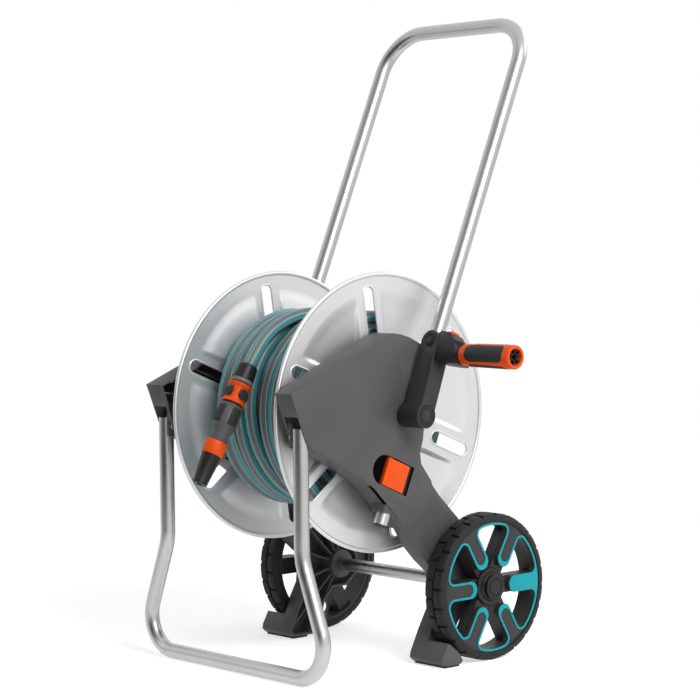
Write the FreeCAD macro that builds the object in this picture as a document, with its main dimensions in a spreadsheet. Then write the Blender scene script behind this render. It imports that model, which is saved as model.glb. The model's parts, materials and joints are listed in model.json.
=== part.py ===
import FreeCAD, Part
import math
import os

import Sketcher
from FreeCAD import Vector

# Garden hose reel cart. X runs across the cart (crank side +X), Y to the back (wheels), Z up.
# Everything is laid out from the middle of the reel axle over the floor, and then moved so
# that the middle of the cart's footprint stands on the origin. The left side is the right
# side's mirror image, apart from the water inlet and the crank.

os.makedirs("parts", exist_ok=True)
doc = FreeCAD.newDocument("HoseReelCart")
sheet = doc.addObject("Spreadsheet::Sheet", "Sizes")

sizes = (
    ("tube_dia", 20.0, "bent steel tubes, outside diameter"),
    ("tube_wall", 1.5, "bent steel tubes, wall"),
    ("leg_top_x", 138.6, "front leg, half width where it enters the frames"),
    ("leg_foot_x", 198.3, "front leg, half width at the floor bar"),
    ("leg_front", 171.3, "front leg, distance in front of the reel axle"),
    ("leg_kink_z", 160.8, "front leg, height where it splays"),
    ("leg_kink_bend", 70.0, "front leg, bend radius where it splays"),
    ("leg_corner_bend", 45.0, "front leg, bend radius at the floor bar"),
    ("leg_drop", 8.0, "front leg, how far its tube ends stay below the reel axle"),
    ("handle_x", 136.1, "push handle, half width"),
    ("handle_lean", 23.4, "push handle, lean back from upright, degrees"),
    ("handle_back", 27.7, "push handle, distance behind the reel axle at its height"),
    ("handle_reach", 569.5, "push handle, grip bar above the reel axle along the tube"),
    ("handle_bend", 60.0, "push handle, corner bend radius"),
    ("handle_tail", 156.0, "push handle, lower ends below the reel axle along the tube"),
    ("plug_edge", 2.0, "tube end plugs, edge thickness"),
    ("reel_z", 335.0, "reel axle height"),
    ("flange_dia", 371.0, "reel flange, diameter over the rolled rim"),
    ("flange_sheet", 1.2, "reel flange, sheet"),
    ("flange_hub_x", 94.0, "reel flange, half distance between the middles, inner faces"),
    ("dish_depth", 9.5, "reel flange, how far the panels dish towards the drum"),
    ("rim_roll", 6.0, "reel flange, diameter of the rolled rim"),
    ("dish_hub_dia", 140.0, "reel flange, flat middle"),
    ("dish_edge_dia", 320.0, "reel flange, outer edge of the dished panels"),
    ("slot_width", 17.0, "reel flange slots, width"),
    ("slot_start", 98.0, "reel flange slots, inner end from the axle"),
    ("slot_end", 168.0, "reel flange slots, outer end from the axle"),
    ("slot_margin", 11.0, "reel flange, flat strip beside each slot"),
    ("slot_turn", 38.0, "reel flange, angle of the first slot above the back, degrees"),
    ("slot_count", 6, "reel flange, number of slots"),
    ("barrel_dia", 120.0, "drum barrel diameter"),
    ("barrel_wall", 3.0, "drum barrel wall"),
    ("barrel_end", 6.0, "drum barrel end wall"),
    ("drum_screw_ring", 42.0, "drum screws, distance from the axle"),
    ("drum_screw_count", 4, "drum screws on each side"),
    ("screw_dia", 5.0, "screw shanks"),
    ("screw_head_dia", 9.0, "screw heads"),
    ("screw_head", 3.5, "screw head height"),
    ("shaft_dia", 18.0, "crank shaft and water spindle"),
    ("shaft_flange_dia", 60.0, "crank shaft and water spindle, flange on the drum"),
    ("shaft_flange", 3.0, "crank shaft and water spindle, flange thickness"),
    ("water_bore", 10.0, "water way"),
    ("bush_wall", 2.5, "reel bearing bush wall"),
    ("bearing_wall", 2.8, "side frame, wall of the bearing tube"),
    ("fit", 0.06, "running clearance on radius"),
    ("slack", 0.3, "clearance between separate pieces"),
    ("hose_dia", 17.0, "hose outside diameter"),
    ("hose_pitch", 17.6, "hose pitch on the drum"),
    ("layer_radius", 125.5, "hose, centre of the outer layer from the axle"),
    ("lay_half", 87.75, "hose, half width of the outer layer on strand centres"),
    ("core_half", 92.5, "hose, half width of the inner layers"),
    ("cross_radius", 143.2, "hose, centre of the end where it crosses the outer layer"),
    ("end_radius", 150.5, "hose end, distance of its line from the axle"),
    ("lane_turns", 5, "hose, turns before the lane that is kept free for its end"),
    ("cross_turns", 0.83, "hose, turns from its end to the edge of the outer layer"),
    ("end_angle", 29.5, "hose end, where it leaves the drum above the front, degrees"),
    ("frame_in_x", 112.0, "side frame, inner edge"),
    ("frame_out_x", 150.0, "side frame, outer face"),
    ("frame_wall", 3.0, "side frame, wall"),
    ("rib_wall", 2.2, "side frame, inner ribs"),
    ("rib_inset", 6.0, "side frame, ribs behind the inner edge"),
    ("arm_in_x", 122.0, "side frame, inner edge of the wheel arm"),
    ("arm_out_x", 146.0, "side frame, outer face of the wheel arm"),
    ("foot_out_x", 184.0, "skid foot, outer end"),
    ("pad_height", 3.0, "skid foot, pad"),
    ("crank_lean", 20.0, "crank, lean of the arm at rest, degrees"),
    ("crank_reach", 97.0, "crank, shaft to fold pin"),
    ("crank_in_x", 158.0, "crank arm, inner face"),
    ("crank_out_x", 188.7, "crank arm, outer face"),
    ("crank_width", 25.0, "crank arm, width"),
    ("boss_dia", 33.0, "crank boss"),
    ("boss_gap", 0.8, "crank boss, gap to the side frame"),
    ("fork_slot", 12.0, "crank arm, slot for the fold bracket"),
    ("fold_pin_dia", 6.0, "crank, fold pin"),
    ("neck_width", 24.0, "crank, width of the fold bracket"),
    ("grip_drop", 13.0, "crank grip, axis below the fold pin"),
    ("grip_gap", 0.7, "crank grip, gap to the fold bracket"),
    ("grip_in_x", 231.7, "crank grip, inner end"),
    ("grip_length", 89.8, "crank grip, length"),
    ("grip_dia", 28.6, "crank grip, inner end diameter"),
    ("grip_swell", 2.4, "crank grip, how much wider its outer end is"),
    ("grip_hole", 18.5, "crank grip, depth of the hole in its outer end"),
    ("insert_margin", 11.5, "crank grip, soft inserts from each end"),
    ("spindle_dia", 10.0, "crank grip spindle"),
    ("spindle_seat", 17.5, "crank grip spindle, length in the fold bracket"),
    ("neck_shoulder", 18.0, "crank, length of the fold bracket's straight top"),
    ("neck_slope", 10.0, "crank, length of the fold bracket's sloping top"),
    ("wheel_dia", 196.4, "wheel over the tread"),
    ("wheel_back", 124.5, "wheel axle behind the reel axle"),
    ("wheel_in_x", 152.5, "wheel, inner face"),
    ("wheel_width", 33.5, "wheel width"),
    ("axle_dia", 18.0, "wheel axle tube"),
    ("axle_wall", 1.5, "wheel axle tube, wall"),
    ("tread_depth", 3.0, "tyre tread"),
    ("tread_count", 24, "tyre, tread blocks in each row"),
    ("tyre_band", 10.5, "tyre, thickness"),
    ("window_dia", 166.0, "wheel openings, outer edge"),
    ("spoke_width", 23.0, "wheel spokes"),
    ("spoke_end", 30.5, "wheel spokes, rounded inner end of their faces from the axle"),
    ("spoke_count", 6, "wheel spokes"),
    ("wheel_hub_dia", 46.0, "wheel hub"),
    ("trim_line", 3.0, "wheel trim, line width"),
    ("trim_tip", 7.0, "wheel trim, width at the spoke ends"),
    ("trim_rise", 0.8, "wheel trim, thickness"),
    ("hub_cap_dia", 32.0, "hub cap"),
    ("slider_wide", 38.5, "release slider, size along its travel"),
    ("slider_tall", 36.5, "release slider, size across its travel"),
    ("slider_rise", 1.0, "release slider, stands out of the frame"),
    ("slider_travel", 7.0, "release slider, travel"),
    ("nut_length", 21.0, "hose nut, length"),
    ("collar_travel", 4.0, "quick connector, travel of the collar"),
)
for row, (alias, number, note) in enumerate(sizes, start=1):
    sheet.set(f"A{row}", note)
    sheet.set(f"B{row}", str(number))
    sheet.setAlias(f"B{row}", alias)
doc.recompute()


# --- sizes that know their formula -------------------------------------------------------

class Size:
    """A number together with the sheet formula that gives it."""

    def __init__(self, value, formula):
        self.value = value
        self.formula = formula

    def __add__(self, other):
        other = as_size(other)
        return Size(self.value + other.value, f"({self.formula} + {other.formula})")

    def __sub__(self, other):
        other = as_size(other)
        return Size(self.value - other.value, f"({self.formula} - {other.formula})")

    def __mul__(self, other):
        other = as_size(other)
        return Size(self.value * other.value, f"({self.formula} * {other.formula})")

    def __truediv__(self, other):
        other = as_size(other)
        return Size(self.value / other.value, f"({self.formula} / {other.formula})")

    def __neg__(self):
        return Size(-self.value, f"(0 - {self.formula})")

    def __radd__(self, other):
        return as_size(other) + self

    def __rsub__(self, other):
        return as_size(other) - self

    def __rmul__(self, other):
        return as_size(other) * self

    def __rtruediv__(self, other):
        return as_size(other) / self


def as_size(number):
    return number if isinstance(number, Size) else Size(float(number), f"({float(number)!r})")


def sine(angle):
    return Size(math.sin(math.radians(angle.value)), f"sin({angle.formula})")


def cosine(angle):
    return Size(math.cos(math.radians(angle.value)), f"cos({angle.formula})")


class Cells:
    """The sheet's cells by their alias."""

    def __getattr__(self, alias):
        return Size(float(sheet.get(alias)), f"Sizes.{alias}")


s = Cells()
tube_r = s.tube_dia / 2
shaft_r = s.shaft_dia / 2
hose_r = s.hose_dia / 2
axle_r = s.axle_dia / 2
wheel_r = s.wheel_dia / 2
skin_x = s.frame_out_x - s.frame_wall
ring_x = s.flange_hub_x + s.dish_depth
wheel_out_x = s.wheel_in_x + s.wheel_width
grip_out_x = s.grip_in_x + s.grip_length
axle_end = wheel_out_x + 0.4
cap_edge = 3.4
housing_front = 195.6
handle_top_y = s.handle_back + s.handle_reach * sine(s.handle_lean)
middle_x = (grip_out_x - axle_end - cap_edge) / 2
middle_y = (handle_top_y + tube_r - housing_front) / 2


# --- frames that places are given in -----------------------------------------------------

class Spot:
    """A place with directions, as a sheet formula and as a Placement."""

    def __init__(self, x, y, z, yaw=0, pitch=0, roll=0, parent=None):
        numbers = [as_size(number) for number in (x, y, z, yaw, pitch, roll)]
        base = "; ".join(number.formula for number in numbers[:3])
        turn = "; ".join(number.formula for number in numbers[3:])
        self.formula = (f"create(<<placement>>; create(<<vector>>; {base}); "
                        f"create(<<rotation>>; {turn}))")
        values = [number.value for number in numbers]
        self.placement = FreeCAD.Placement(Vector(*values[:3]), FreeCAD.Rotation(*values[3:]))
        if parent is not None:
            self.formula = f"{parent.formula} * {self.formula}"
            self.placement = parent.placement * self.placement

    def at(self, x=0, y=0, z=0, yaw=0, pitch=0, roll=0):
        return Spot(x, y, z, yaw, pitch, roll, parent=self)


floor_spot = Spot(-middle_x, -middle_y, 0)
reel_spot = floor_spot.at(0, 0, s.reel_z)
wheel_spot = floor_spot.at(0, s.wheel_back, wheel_r)
# along: the tube, across: away from the tube in the frame's plane, X stays across the cart
handle_spot = floor_spot.at(0, s.handle_back, s.reel_z, roll=90 - s.handle_lean)
crank_spot = reel_spot.at(roll=90 - s.crank_lean)
fold_spot = crank_spot.at((s.crank_in_x + s.crank_out_x) / 2, s.crank_reach, 0)
grip_spot = fold_spot.at(0, -s.grip_drop, 0)
# X runs down the nozzle from where the hose ends
end_shift = 11
end_x = s.lay_half - s.hose_pitch * (s.lane_turns + 1.1 - s.cross_turns)
nozzle_spot = reel_spot.at(end_x,
                           -(s.end_radius * cosine(s.end_angle)) - end_shift * sine(s.end_angle),
                           s.end_radius * sine(s.end_angle) - end_shift * cosine(s.end_angle),
                           yaw=-90, pitch=90 - s.end_angle)


# --- building blocks ---------------------------------------------------------------------

def bind(item, **numbers):
    for name, number in numbers.items():
        item.setExpression(name, as_size(number).formula)


def put(item, spot):
    item.Placement = spot.placement
    item.setExpression("Placement", spot.formula)
    return item


def box(spot, x, y, z):
    """A box between two limits along each axis of a spot."""
    item = doc.addObject("Part::Box", "Block")
    limits = [tuple(as_size(limit) for limit in pair) for pair in (x, y, z)]
    bind(item, Length=limits[0][1] - limits[0][0], Width=limits[1][1] - limits[1][0],
         Height=limits[2][1] - limits[2][0])
    return put(item, spot.at(*(pair[0] for pair in limits)))


def rod(spot, radius, start, end):
    """A cylinder round a spot's X axis, between two places along it."""
    start = as_size(start)
    item = doc.addObject("Part::Cylinder", "Rod")
    bind(item, Radius=radius, Height=end - start)
    return put(item, spot.at(start, pitch=90))


def fuse(*items):
    item = doc.addObject("Part::MultiFuse", "Joined")
    item.Shapes = list(items)
    return item


def cut(base, *tools):
    item = doc.addObject("Part::Cut", "Cut")
    item.Base = base
    item.Tool = tools[0] if len(tools) == 1 else fuse(*tools)
    return item


def common(first, second):
    item = doc.addObject("Part::MultiCommon", "Shared")
    item.Shapes = [first, second]
    return item


def pipe(spot, outer, inner, start, end):
    return cut(rod(spot, outer, start, end), rod(spot, inner, start, end))


def draw(sketch, corners):
    """A closed outline with straight sides; both places of each corner are bound."""
    corners = [(as_size(x), as_size(y)) for x, y in corners]
    ends = [Vector(x.value, y.value, 0) for x, y in corners]
    for start, end in zip(ends, ends[1:] + ends[:1]):
        sketch.addGeometry(Part.LineSegment(start, end))
    for side, (x, y) in enumerate(corners):
        following = (side + 1) % len(corners)
        sketch.addConstraint(Sketcher.Constraint("Coincident", side, 2, following, 1))
        hold(sketch, side, 1, x, y)


def hold(sketch, piece, end, x, y):
    for kind, number in (("DistanceX", x), ("DistanceY", y)):
        index = sketch.addConstraint(Sketcher.Constraint(kind, -1, 1, piece, end, number.value))
        sketch.setExpression(f"Constraints[{index}]", number.formula)


def slab(spot, corners, start, end):
    """A plate across the cart: its outline lies in the spot's Y and Z."""
    start = as_size(start)
    sketch = doc.addObject("Sketcher::SketchObject", "Outline")
    draw(sketch, corners)
    put(sketch, spot.at(start, yaw=90, roll=90))
    item = doc.addObject("Part::Extrusion", "Plate")
    item.Base = sketch
    item.DirMode = "Normal"
    item.Solid = True
    bind(item, LengthFwd=end - start)
    return item


def hollow(item, wall, spot, x):
    """A plate opened on the side that lies at x of a spot, with one wall thickness left."""
    doc.recompute()
    point = spot.at(x).placement
    normal = point.Rotation.multVec(Vector(1, 0, 0))
    level = point.Base.dot(normal)
    names = [f"Face{number}" for number, face in enumerate(item.Shape.Faces, start=1)
             if abs(abs(face.normalAt(0, 0).dot(normal)) - 1) < 1e-6
             and abs(face.CenterOfMass.dot(normal) - level) < 1e-3]
    shell = doc.addObject("Part::Thickness", "Shell")
    shell.Faces = (item, names)
    shell.Join = 2
    shell.Mode = 0
    bind(shell, Value=-as_size(wall))
    return shell


def lathe(spot, profile):
    """A turned piece: (place along the spot's X, radius) corners, spun round that axis."""
    body = doc.addObject("PartDesign::Body", "Turned")
    sketch = body.newObject("Sketcher::SketchObject", "Profile")
    plane = [item for item in body.Origin.OriginFeatures if item.Role == "XY_Plane"][0]
    sketch.AttachmentSupport = [(plane, "")]
    sketch.MapMode = "FlatFace"
    draw(sketch, profile)
    turn = body.newObject("PartDesign::Revolution", "Turn")
    turn.Profile = sketch
    turn.ReferenceAxis = (sketch, ["H_Axis"])
    turn.Angle = 360
    return put(body, spot)


def bend(spot, places, radii, radius):
    """A round bar bent in a spot's XY plane: free corners and the bend at each."""
    places = [(as_size(x), as_size(y)) for x, y in places]
    sketch = doc.addObject("Sketcher::SketchObject", "Path")
    put(sketch, spot)
    points = [Vector(x.value, y.value, 0) for x, y in places]
    lines, start, arcs = [], points[0], []
    for before, corner, after, bend_r in zip(points, points[1:], points[2:], radii):
        back = (before - corner).normalize()
        ahead = (after - corner).normalize()
        half = back.getAngle(ahead) / 2
        centre = corner + (back + ahead).normalize() * (bend_r.value / math.sin(half))
        first = corner + back * (bend_r.value / math.tan(half))
        last = corner + ahead * (bend_r.value / math.tan(half))
        top = centre + (corner - centre).normalize() * bend_r.value
        lines.append(sketch.addGeometry(Part.LineSegment(start, first)))
        turns_right = ahead.cross(back).z < 0
        arc = Part.Arc(last, top, first) if turns_right else Part.Arc(first, top, last)
        arcs.append((sketch.addGeometry(arc), 2 if turns_right else 1))
        start = last
    lines.append(sketch.addGeometry(Part.LineSegment(start, points[-1])))
    for number, (arc, near) in enumerate(arcs):
        sketch.addConstraint(Sketcher.Constraint("Tangent", lines[number], 2, arc, near))
        sketch.addConstraint(Sketcher.Constraint("Tangent", lines[number + 1], 1, arc, 3 - near))
        index = sketch.addConstraint(Sketcher.Constraint("Radius", arc, radii[number].value))
        sketch.setExpression(f"Constraints[{index}]", radii[number].formula)
        corner = sketch.addGeometry(Part.Point(points[number + 1]), True)
        for line in lines[number:number + 2]:
            sketch.addConstraint(Sketcher.Constraint("PointOnObject", corner, 1, line))
        hold(sketch, corner, 1, *places[number + 1])
    hold(sketch, lines[0], 1, *places[0])
    hold(sketch, lines[-1], 2, *places[-1])
    ring = doc.addObject("Part::Circle", "Section")
    bind(ring, Radius=radius)
    put(ring, spot.at(places[0][0], places[0][1], roll=-90))
    sweep = doc.addObject("Part::Sweep", "Bent")
    sweep.Sections = [ring]
    sweep.Spine = (sketch, [f"Edge{number + 1}" for number in range(len(lines) + len(arcs))])
    sweep.Solid = True
    sweep.Frenet = False
    sweep.Transition = "Right corner"
    return sweep


def mirrored(item):
    twin = doc.addObject("Part::Mirroring", "Twin")
    twin.Source = item
    twin.Normal = (1, 0, 0)
    bind(twin, **{"Base.x": -middle_x})
    return twin


def turned_copies(count, first, make):
    """The same feature at even steps round an axis; the make function takes the angle."""
    return [make(first + number * (360 / count)) for number in range(int(count.value))]


nodes = {}


def keep(name, item):
    item.Label = name
    nodes[name] = item


def keep_pair(name, item):
    keep(f"right_{name}", item)
    keep(f"left_{name}", mirrored(item))


# --- stand: bent tubes, wheel axle, side frames ------------------------------------------

def front_leg_loop():
    spot = floor_spot.at(0, -s.leg_front, 0, roll=90)
    top = s.reel_z - s.leg_drop
    half = ((s.leg_top_x, top), (s.leg_top_x, s.leg_kink_z), (s.leg_foot_x, tube_r))
    places = [(-x, z) for x, z in half] + [(x, z) for x, z in reversed(half)]
    radii = [s.leg_kink_bend, s.leg_corner_bend, s.leg_corner_bend, s.leg_kink_bend]
    solid = bend(spot, places, radii, tube_r)
    way = bend(spot, places, radii, tube_r - s.tube_wall)
    hole_r = s.screw_dia / 2 + s.fit
    return cut(solid, way, rod(leg_screw_spot, hole_r, 0, s.leg_top_x),
               rod(leg_screw_spot.at(yaw=180), hole_r, 0, s.leg_top_x))


leg_screw_spot = reel_spot.at(0, -s.leg_front, -s.leg_drop - 12)
leg_block_x = s.leg_top_x - tube_r - 4


def leg_screws():
    return turned_screw(leg_screw_spot, leg_block_x, 18, -1)


def turned_screw(spot, seat, length, side):
    """A screw on a spot's X axis: its head lies on the seat, its shank goes the other way."""
    head, tip = seat + side * s.screw_head, seat - side * as_size(length)
    radius = s.screw_dia / 2
    return lathe(spot, [(head, 0), (head, s.screw_head_dia / 2), (seat, s.screw_head_dia / 2),
                        (seat, radius), (tip, radius), (tip, 0)])


def push_handle():
    places = ((-s.handle_x, -s.handle_tail), (-s.handle_x, s.handle_reach),
              (s.handle_x, s.handle_reach), (s.handle_x, -s.handle_tail))
    radii = [s.handle_bend, s.handle_bend]
    return cut(bend(handle_spot, places, radii, tube_r),
               bend(handle_spot, places, radii, tube_r - s.tube_wall))


def handle_plug():
    spot = handle_spot.at(s.handle_x, -s.handle_tail, 0, yaw=90)
    inner = tube_r - s.tube_wall - s.fit
    return lathe(spot, [(-s.plug_edge, 0), (-s.plug_edge, tube_r), (0, tube_r), (0, inner),
                        (14, inner), (14, 0)])


def wheel_axle():
    return pipe(wheel_spot, axle_r, axle_r - s.axle_wall, -axle_end, axle_end)


def hub_cap():
    plug_r = axle_r - s.axle_wall - s.fit
    cap_r = s.hub_cap_dia / 2
    return lathe(wheel_spot, [(axle_end - 12, 0), (axle_end - 12, plug_r), (axle_end, plug_r),
                              (axle_end, cap_r), (axle_end + 2, cap_r),
                              (axle_end + cap_edge, cap_r - 2.4), (axle_end + cap_edge, 0)])


# Outlines in the cart's side view, from the reel axle (y back, z up). The wall behind the
# crank comes down to the wheel arm.
housing_outline = (
    (-housing_front, 36.8), (-193, 30), (-173, -22.4), (-165.7, -32.6), (-136.1, -46), (-81.6, -74.7),
    (-56.5, -92.8), (-25.4, -124.2), (1.5, -151.7), (30, -134), (51, -108), (44.4, -89.6),
    (27.2, -67.1), (25, -52), (30.7, -35), (33, -17), (40, 10), (45, 35), (47, 63), (42, 79),
    (28.7, 90.5), (8.9, 99.8), (-8, 104.6), (-20, 106.4), (-30, 104.4), (-40, 100.2))


def arm_outline():
    """From the wheel axle: the arm up to the housing, round the axle and down to the foot."""
    up, back = s.reel_z - wheel_r, -s.wheel_back
    floor = s.pad_height - wheel_r
    return ((back + 44.4, up - 89.6), (back + 1.5, up - 151.7), (-104.9, 58.8), (-85.3, 38.1),
            (-65.6, 21.4), (-61.5, -3.2), (-64.2, -28.3), (-78.5, -52.8), (-93.9, -82.7),
            (-95, floor + 5.5), (-89.1, floor), (-52, floor), (-38, -78), (-30, -50),
            (-14, -33), (12, -33), (30, -18), (34, 4), (26, 26), (8, 38), (-6, 60), (-26, 90.7),
            (back + 63.8, up - 112.5))


def foot_outline():
    floor = s.pad_height - wheel_r
    return ((-89.1, floor), (-95, floor + 5.5), (-93.9, -82.7), (-84, -65.5), (-77.5, -69.2),
            (-61.5, -83.5), (-57, floor + 4), (-61, floor))


def side_frame():
    inner = s.frame_in_x + s.rib_inset
    rib_r = s.rib_wall / 2
    bearing_r = shaft_r + s.bush_wall + s.bearing_wall
    housing = slab(reel_spot, housing_outline, s.frame_in_x, s.frame_out_x)
    arm = slab(wheel_spot, arm_outline(), s.arm_in_x, s.arm_out_x)
    foot = slab(wheel_spot, foot_outline(), s.arm_out_x - s.frame_wall, s.foot_out_x)
    shells = [hollow(housing, s.frame_wall, reel_spot, s.frame_in_x),
              hollow(arm, s.frame_wall, wheel_spot, s.arm_in_x),
              hollow(foot, s.frame_wall, wheel_spot, s.arm_out_x - s.frame_wall)]
    housing_ribs = [box(reel_spot.at(roll=angle), (inner, skin_x + 1), (bearing_r - 1, 260),
                        (-rib_r, rib_r))
                    for angle in (70, 105, 135, 158, 172, 190, 208, 232, 262)]
    arm_ribs = [box(wheel_spot.at(roll=angle), (s.arm_in_x + 2, s.arm_out_x - 1), (16, 190),
                    (-rib_r, rib_r))
                for angle in (95, 112, 135, 160, 195, 222, 238)]
    housing_room = slab(reel_spot, housing_outline, inner, skin_x + 1)
    arm_room = slab(wheel_spot, arm_outline(), s.arm_in_x + 2, s.arm_out_x - 1)
    bosses = [rod(reel_spot.at(0, y, z), 5, inner, skin_x + 1)
              for y, z in ((-150, 48), (-90, 62), (-60, -50), (-10, 80), (-120, -20))]
    walls = cut(fuse(*shells, common(fuse(*housing_ribs), housing_room),
                     common(fuse(*arm_ribs), arm_room), *bosses),
                handle_way(0.8), slider_room())
    return cut(fuse(walls, *handle_guides(), leg_block(),
                    rod(reel_spot, bearing_r, s.frame_in_x + 1, s.frame_out_x),
                    rod(wheel_spot, 20, s.arm_in_x - 4, s.wheel_in_x - 1)),
               handle_way(s.fit), leg_way(), *leg_slot(), *front_relief(),
               rod(leg_screw_spot, s.screw_dia / 2 + s.fit, leg_block_x - 5, s.leg_top_x),
               rod(leg_screw_spot, s.screw_head_dia / 2 + s.slack, s.frame_in_x - 1,
                   leg_block_x),
               rod(reel_spot, shaft_r + s.bush_wall + s.fit, s.frame_in_x, s.frame_out_x + 1),
               rod(wheel_spot, axle_r + s.fit, s.arm_in_x - 10, s.wheel_in_x),
               slider_window(), finger_dip())


def handle_way(clearance):
    return rod(handle_spot.at(s.handle_x, 0, 0, yaw=90), tube_r + clearance,
               -s.handle_tail - 60, 140)


def handle_guides():
    """Two sleeves that the handle's tube slides in, above and below the release slider."""
    inner = s.handle_x - tube_r - 3.5
    return [box(handle_spot, (inner, skin_x + 1), along, (-tube_r - 4, tube_r + 2.5))
            for along in ((20, 42), (-140, -118))]


def leg_block():
    low = s.reel_z - s.leg_drop - 25
    return box(floor_spot, (leg_block_x, skin_x + 1),
               (-s.leg_front - tube_r - 1, -s.leg_front + tube_r + 4), (low, low + 25))


def leg_way():
    return rod(floor_spot.at(s.leg_top_x, -s.leg_front, 0, pitch=-90), tube_r + s.fit,
               s.leg_kink_z, s.reel_z - s.leg_drop + s.slack)


def leg_slot():
    """The opening in the front wall round the leg's upper end, wider than the tube inwards."""
    tall = (-s.leg_drop - 26, 7)
    return [box(reel_spot, (s.leg_top_x - tube_r, s.leg_top_x + tube_r),
                (-s.leg_front - 40, -s.leg_front), tall),
            box(reel_spot, (s.leg_top_x - tube_r - 6.5, s.leg_top_x),
                (-s.leg_front - 40, -s.leg_front - 6.5), tall)]


def front_relief():
    """The front wall's inner edge stands back from the top wall's."""
    across = (s.frame_in_x - 1, s.frame_in_x + s.rib_inset)
    front = -housing_front - 1
    return [box(reel_spot, across, (front, -181.6), (-30, 60)),
            box(reel_spot, across, (front, -168), (-30, 20))]


# Y runs up the handle's tube and Z to the front; the slider moves along -Z.
slider_spot = handle_spot.at(0, -86, 0)
slider_low = -23
slider_back = -7.5
slider_front = slider_back + s.slider_wide
slider_top = slider_low + s.slider_tall
hook_deep = 4


def slider_window():
    return box(slider_spot, (skin_x - 1, s.frame_out_x + 1), (slider_low - 1, slider_top + 2),
               (slider_back - s.slider_travel - 2, slider_front + 3))


def finger_dip():
    return rod(slider_spot.at(0, slider_low + s.slider_tall / 2, slider_front + 3), 19.7,
               s.frame_out_x - 2, s.frame_out_x + 1)


def slider_room():
    """Space behind the skin for the slider's hook."""
    return box(slider_spot, (skin_x - hook_deep - 2, skin_x), (slider_low - 6, slider_top + 6),
               (slider_front - 12 - s.slider_travel, slider_front + 2))


def release_slider():
    plate = box(slider_spot, (skin_x, s.frame_out_x + s.slider_rise), (slider_low, slider_top),
                (slider_back, slider_front))
    neck = box(slider_spot, (skin_x - 1, skin_x + 1), (slider_low, slider_top),
               (slider_front - 10, slider_front - 1))
    hook = box(slider_spot, (skin_x - hook_deep, skin_x - 0.2), (slider_low - 4, slider_top + 4),
               (slider_front - 10, slider_front - 1))
    return fuse(plate, neck, hook)


def foot_pad():
    return box(wheel_spot, (s.arm_in_x + 2, s.foot_out_x - 2), (-88, -62),
               (-wheel_r, -wheel_r + s.pad_height))


keep("front_leg_loop", front_leg_loop())
keep("push_handle", push_handle())
keep("wheel_axle", wheel_axle())
keep_pair("side_frame", side_frame())
keep_pair("release_slider", release_slider())
keep_pair("foot_pad", foot_pad())
keep_pair("hub_cap", hub_cap())
keep_pair("handle_plug", handle_plug())
keep_pair("leg_screw", leg_screws())


# --- reel --------------------------------------------------------------------------------

left_spot = reel_spot.at(yaw=180)
shoulder_x = s.frame_in_x + 0.5
shaft_flange_out = s.flange_hub_x + s.flange_sheet + s.shaft_flange


def drum_screw_spots(spot):
    return turned_copies(s.drum_screw_count, 45,
                         lambda angle: spot.at(roll=angle).at(0, s.drum_screw_ring, 0))


def drum_screw_holes(spot):
    radius = s.screw_dia / 2 + s.fit
    return [rod(hole, radius, s.flange_hub_x - s.barrel_end - 1, shaft_flange_out + 1)
            for hole in drum_screw_spots(spot)]


def drum_screws():
    length = s.shaft_flange + s.flange_sheet + s.barrel_end
    return fuse(*[turned_screw(hole, shaft_flange_out, length, 1)
                  for spot in (reel_spot, left_spot) for hole in drum_screw_spots(spot)])


def drum_barrel():
    outer = s.barrel_dia / 2
    inner = outer - s.barrel_wall
    hole = shaft_r + s.fit
    half = s.flange_hub_x
    wall = half - s.barrel_end
    barrel = lathe(reel_spot, [(-half, hole), (-half, outer), (half, outer), (half, hole),
                               (wall, hole), (wall, inner), (-wall, inner), (-wall, hole)])
    return cut(barrel, *drum_screw_holes(reel_spot), *drum_screw_holes(left_spot),
               rod(outlet_spot, outlet_r + s.fit, 0, outer))


def flange():
    """A pressed sheet: flat middle, panels dished towards the drum, and raised slotted spokes."""
    hub_x, sheet = s.flange_hub_x, s.flange_sheet
    out_x = ring_x + sheet
    hub_r, edge_r = s.dish_hub_dia / 2, s.dish_edge_dia / 2
    rim_r = s.flange_dia / 2 - s.rim_roll / 2
    hole = shaft_r + s.slack
    half = s.slot_width / 2 + s.slot_margin
    plate = lathe(reel_spot, [
        (hub_x, hole), (hub_x, hub_r), (ring_x - 1, edge_r), (ring_x, edge_r + 1),
        (ring_x, rim_r), (out_x, rim_r), (out_x, edge_r + 0.4), (out_x - 1, edge_r - 0.6),
        (hub_x + sheet, hub_r - 0.2), (hub_x + sheet, hole)])
    dish_room = lathe(reel_spot, [
        (hub_x, hub_r - 4), (hub_x, hub_r), (ring_x - 1, edge_r), (ring_x, edge_r + 1),
        (ring_x, edge_r + 3), (out_x, edge_r + 3), (out_x, hub_r - 4)])
    spots = turned_copies(s.slot_count, s.slot_turn, lambda angle: reel_spot.at(roll=angle))
    outer = [box(spot, (hub_x - 1, out_x), (hub_r, edge_r + 3), (-half, half)) for spot in spots]
    inner = fuse(*[box(spot, (hub_x - 2, ring_x), (hub_r + sheet, edge_r + 5),
                       (sheet - half, half - sheet)) for spot in spots])
    spokes = common(cut(fuse(*outer), inner), dish_room)
    rim = doc.addObject("Part::Torus", "Rim")
    bind(rim, Radius1=rim_r, Radius2=s.rim_roll / 2)
    put(rim, reel_spot.at(ring_x + sheet / 2, 0, 0, pitch=90))
    slots = [slot for spot in spots for slot in flange_slot(spot, hub_x, out_x + 1)]
    return cut(fuse(cut(plate, inner), spokes, rim), *slots, *drum_screw_holes(reel_spot))


def flange_slot(spot, start, end):
    radius = s.slot_width / 2
    low, high = s.slot_start + radius, s.slot_end - radius
    return [box(spot, (start, end), (low, high), (-radius, radius)),
            rod(spot.at(0, low, 0), radius, start, end),
            rod(spot.at(0, high, 0), radius, start, end)]


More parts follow.
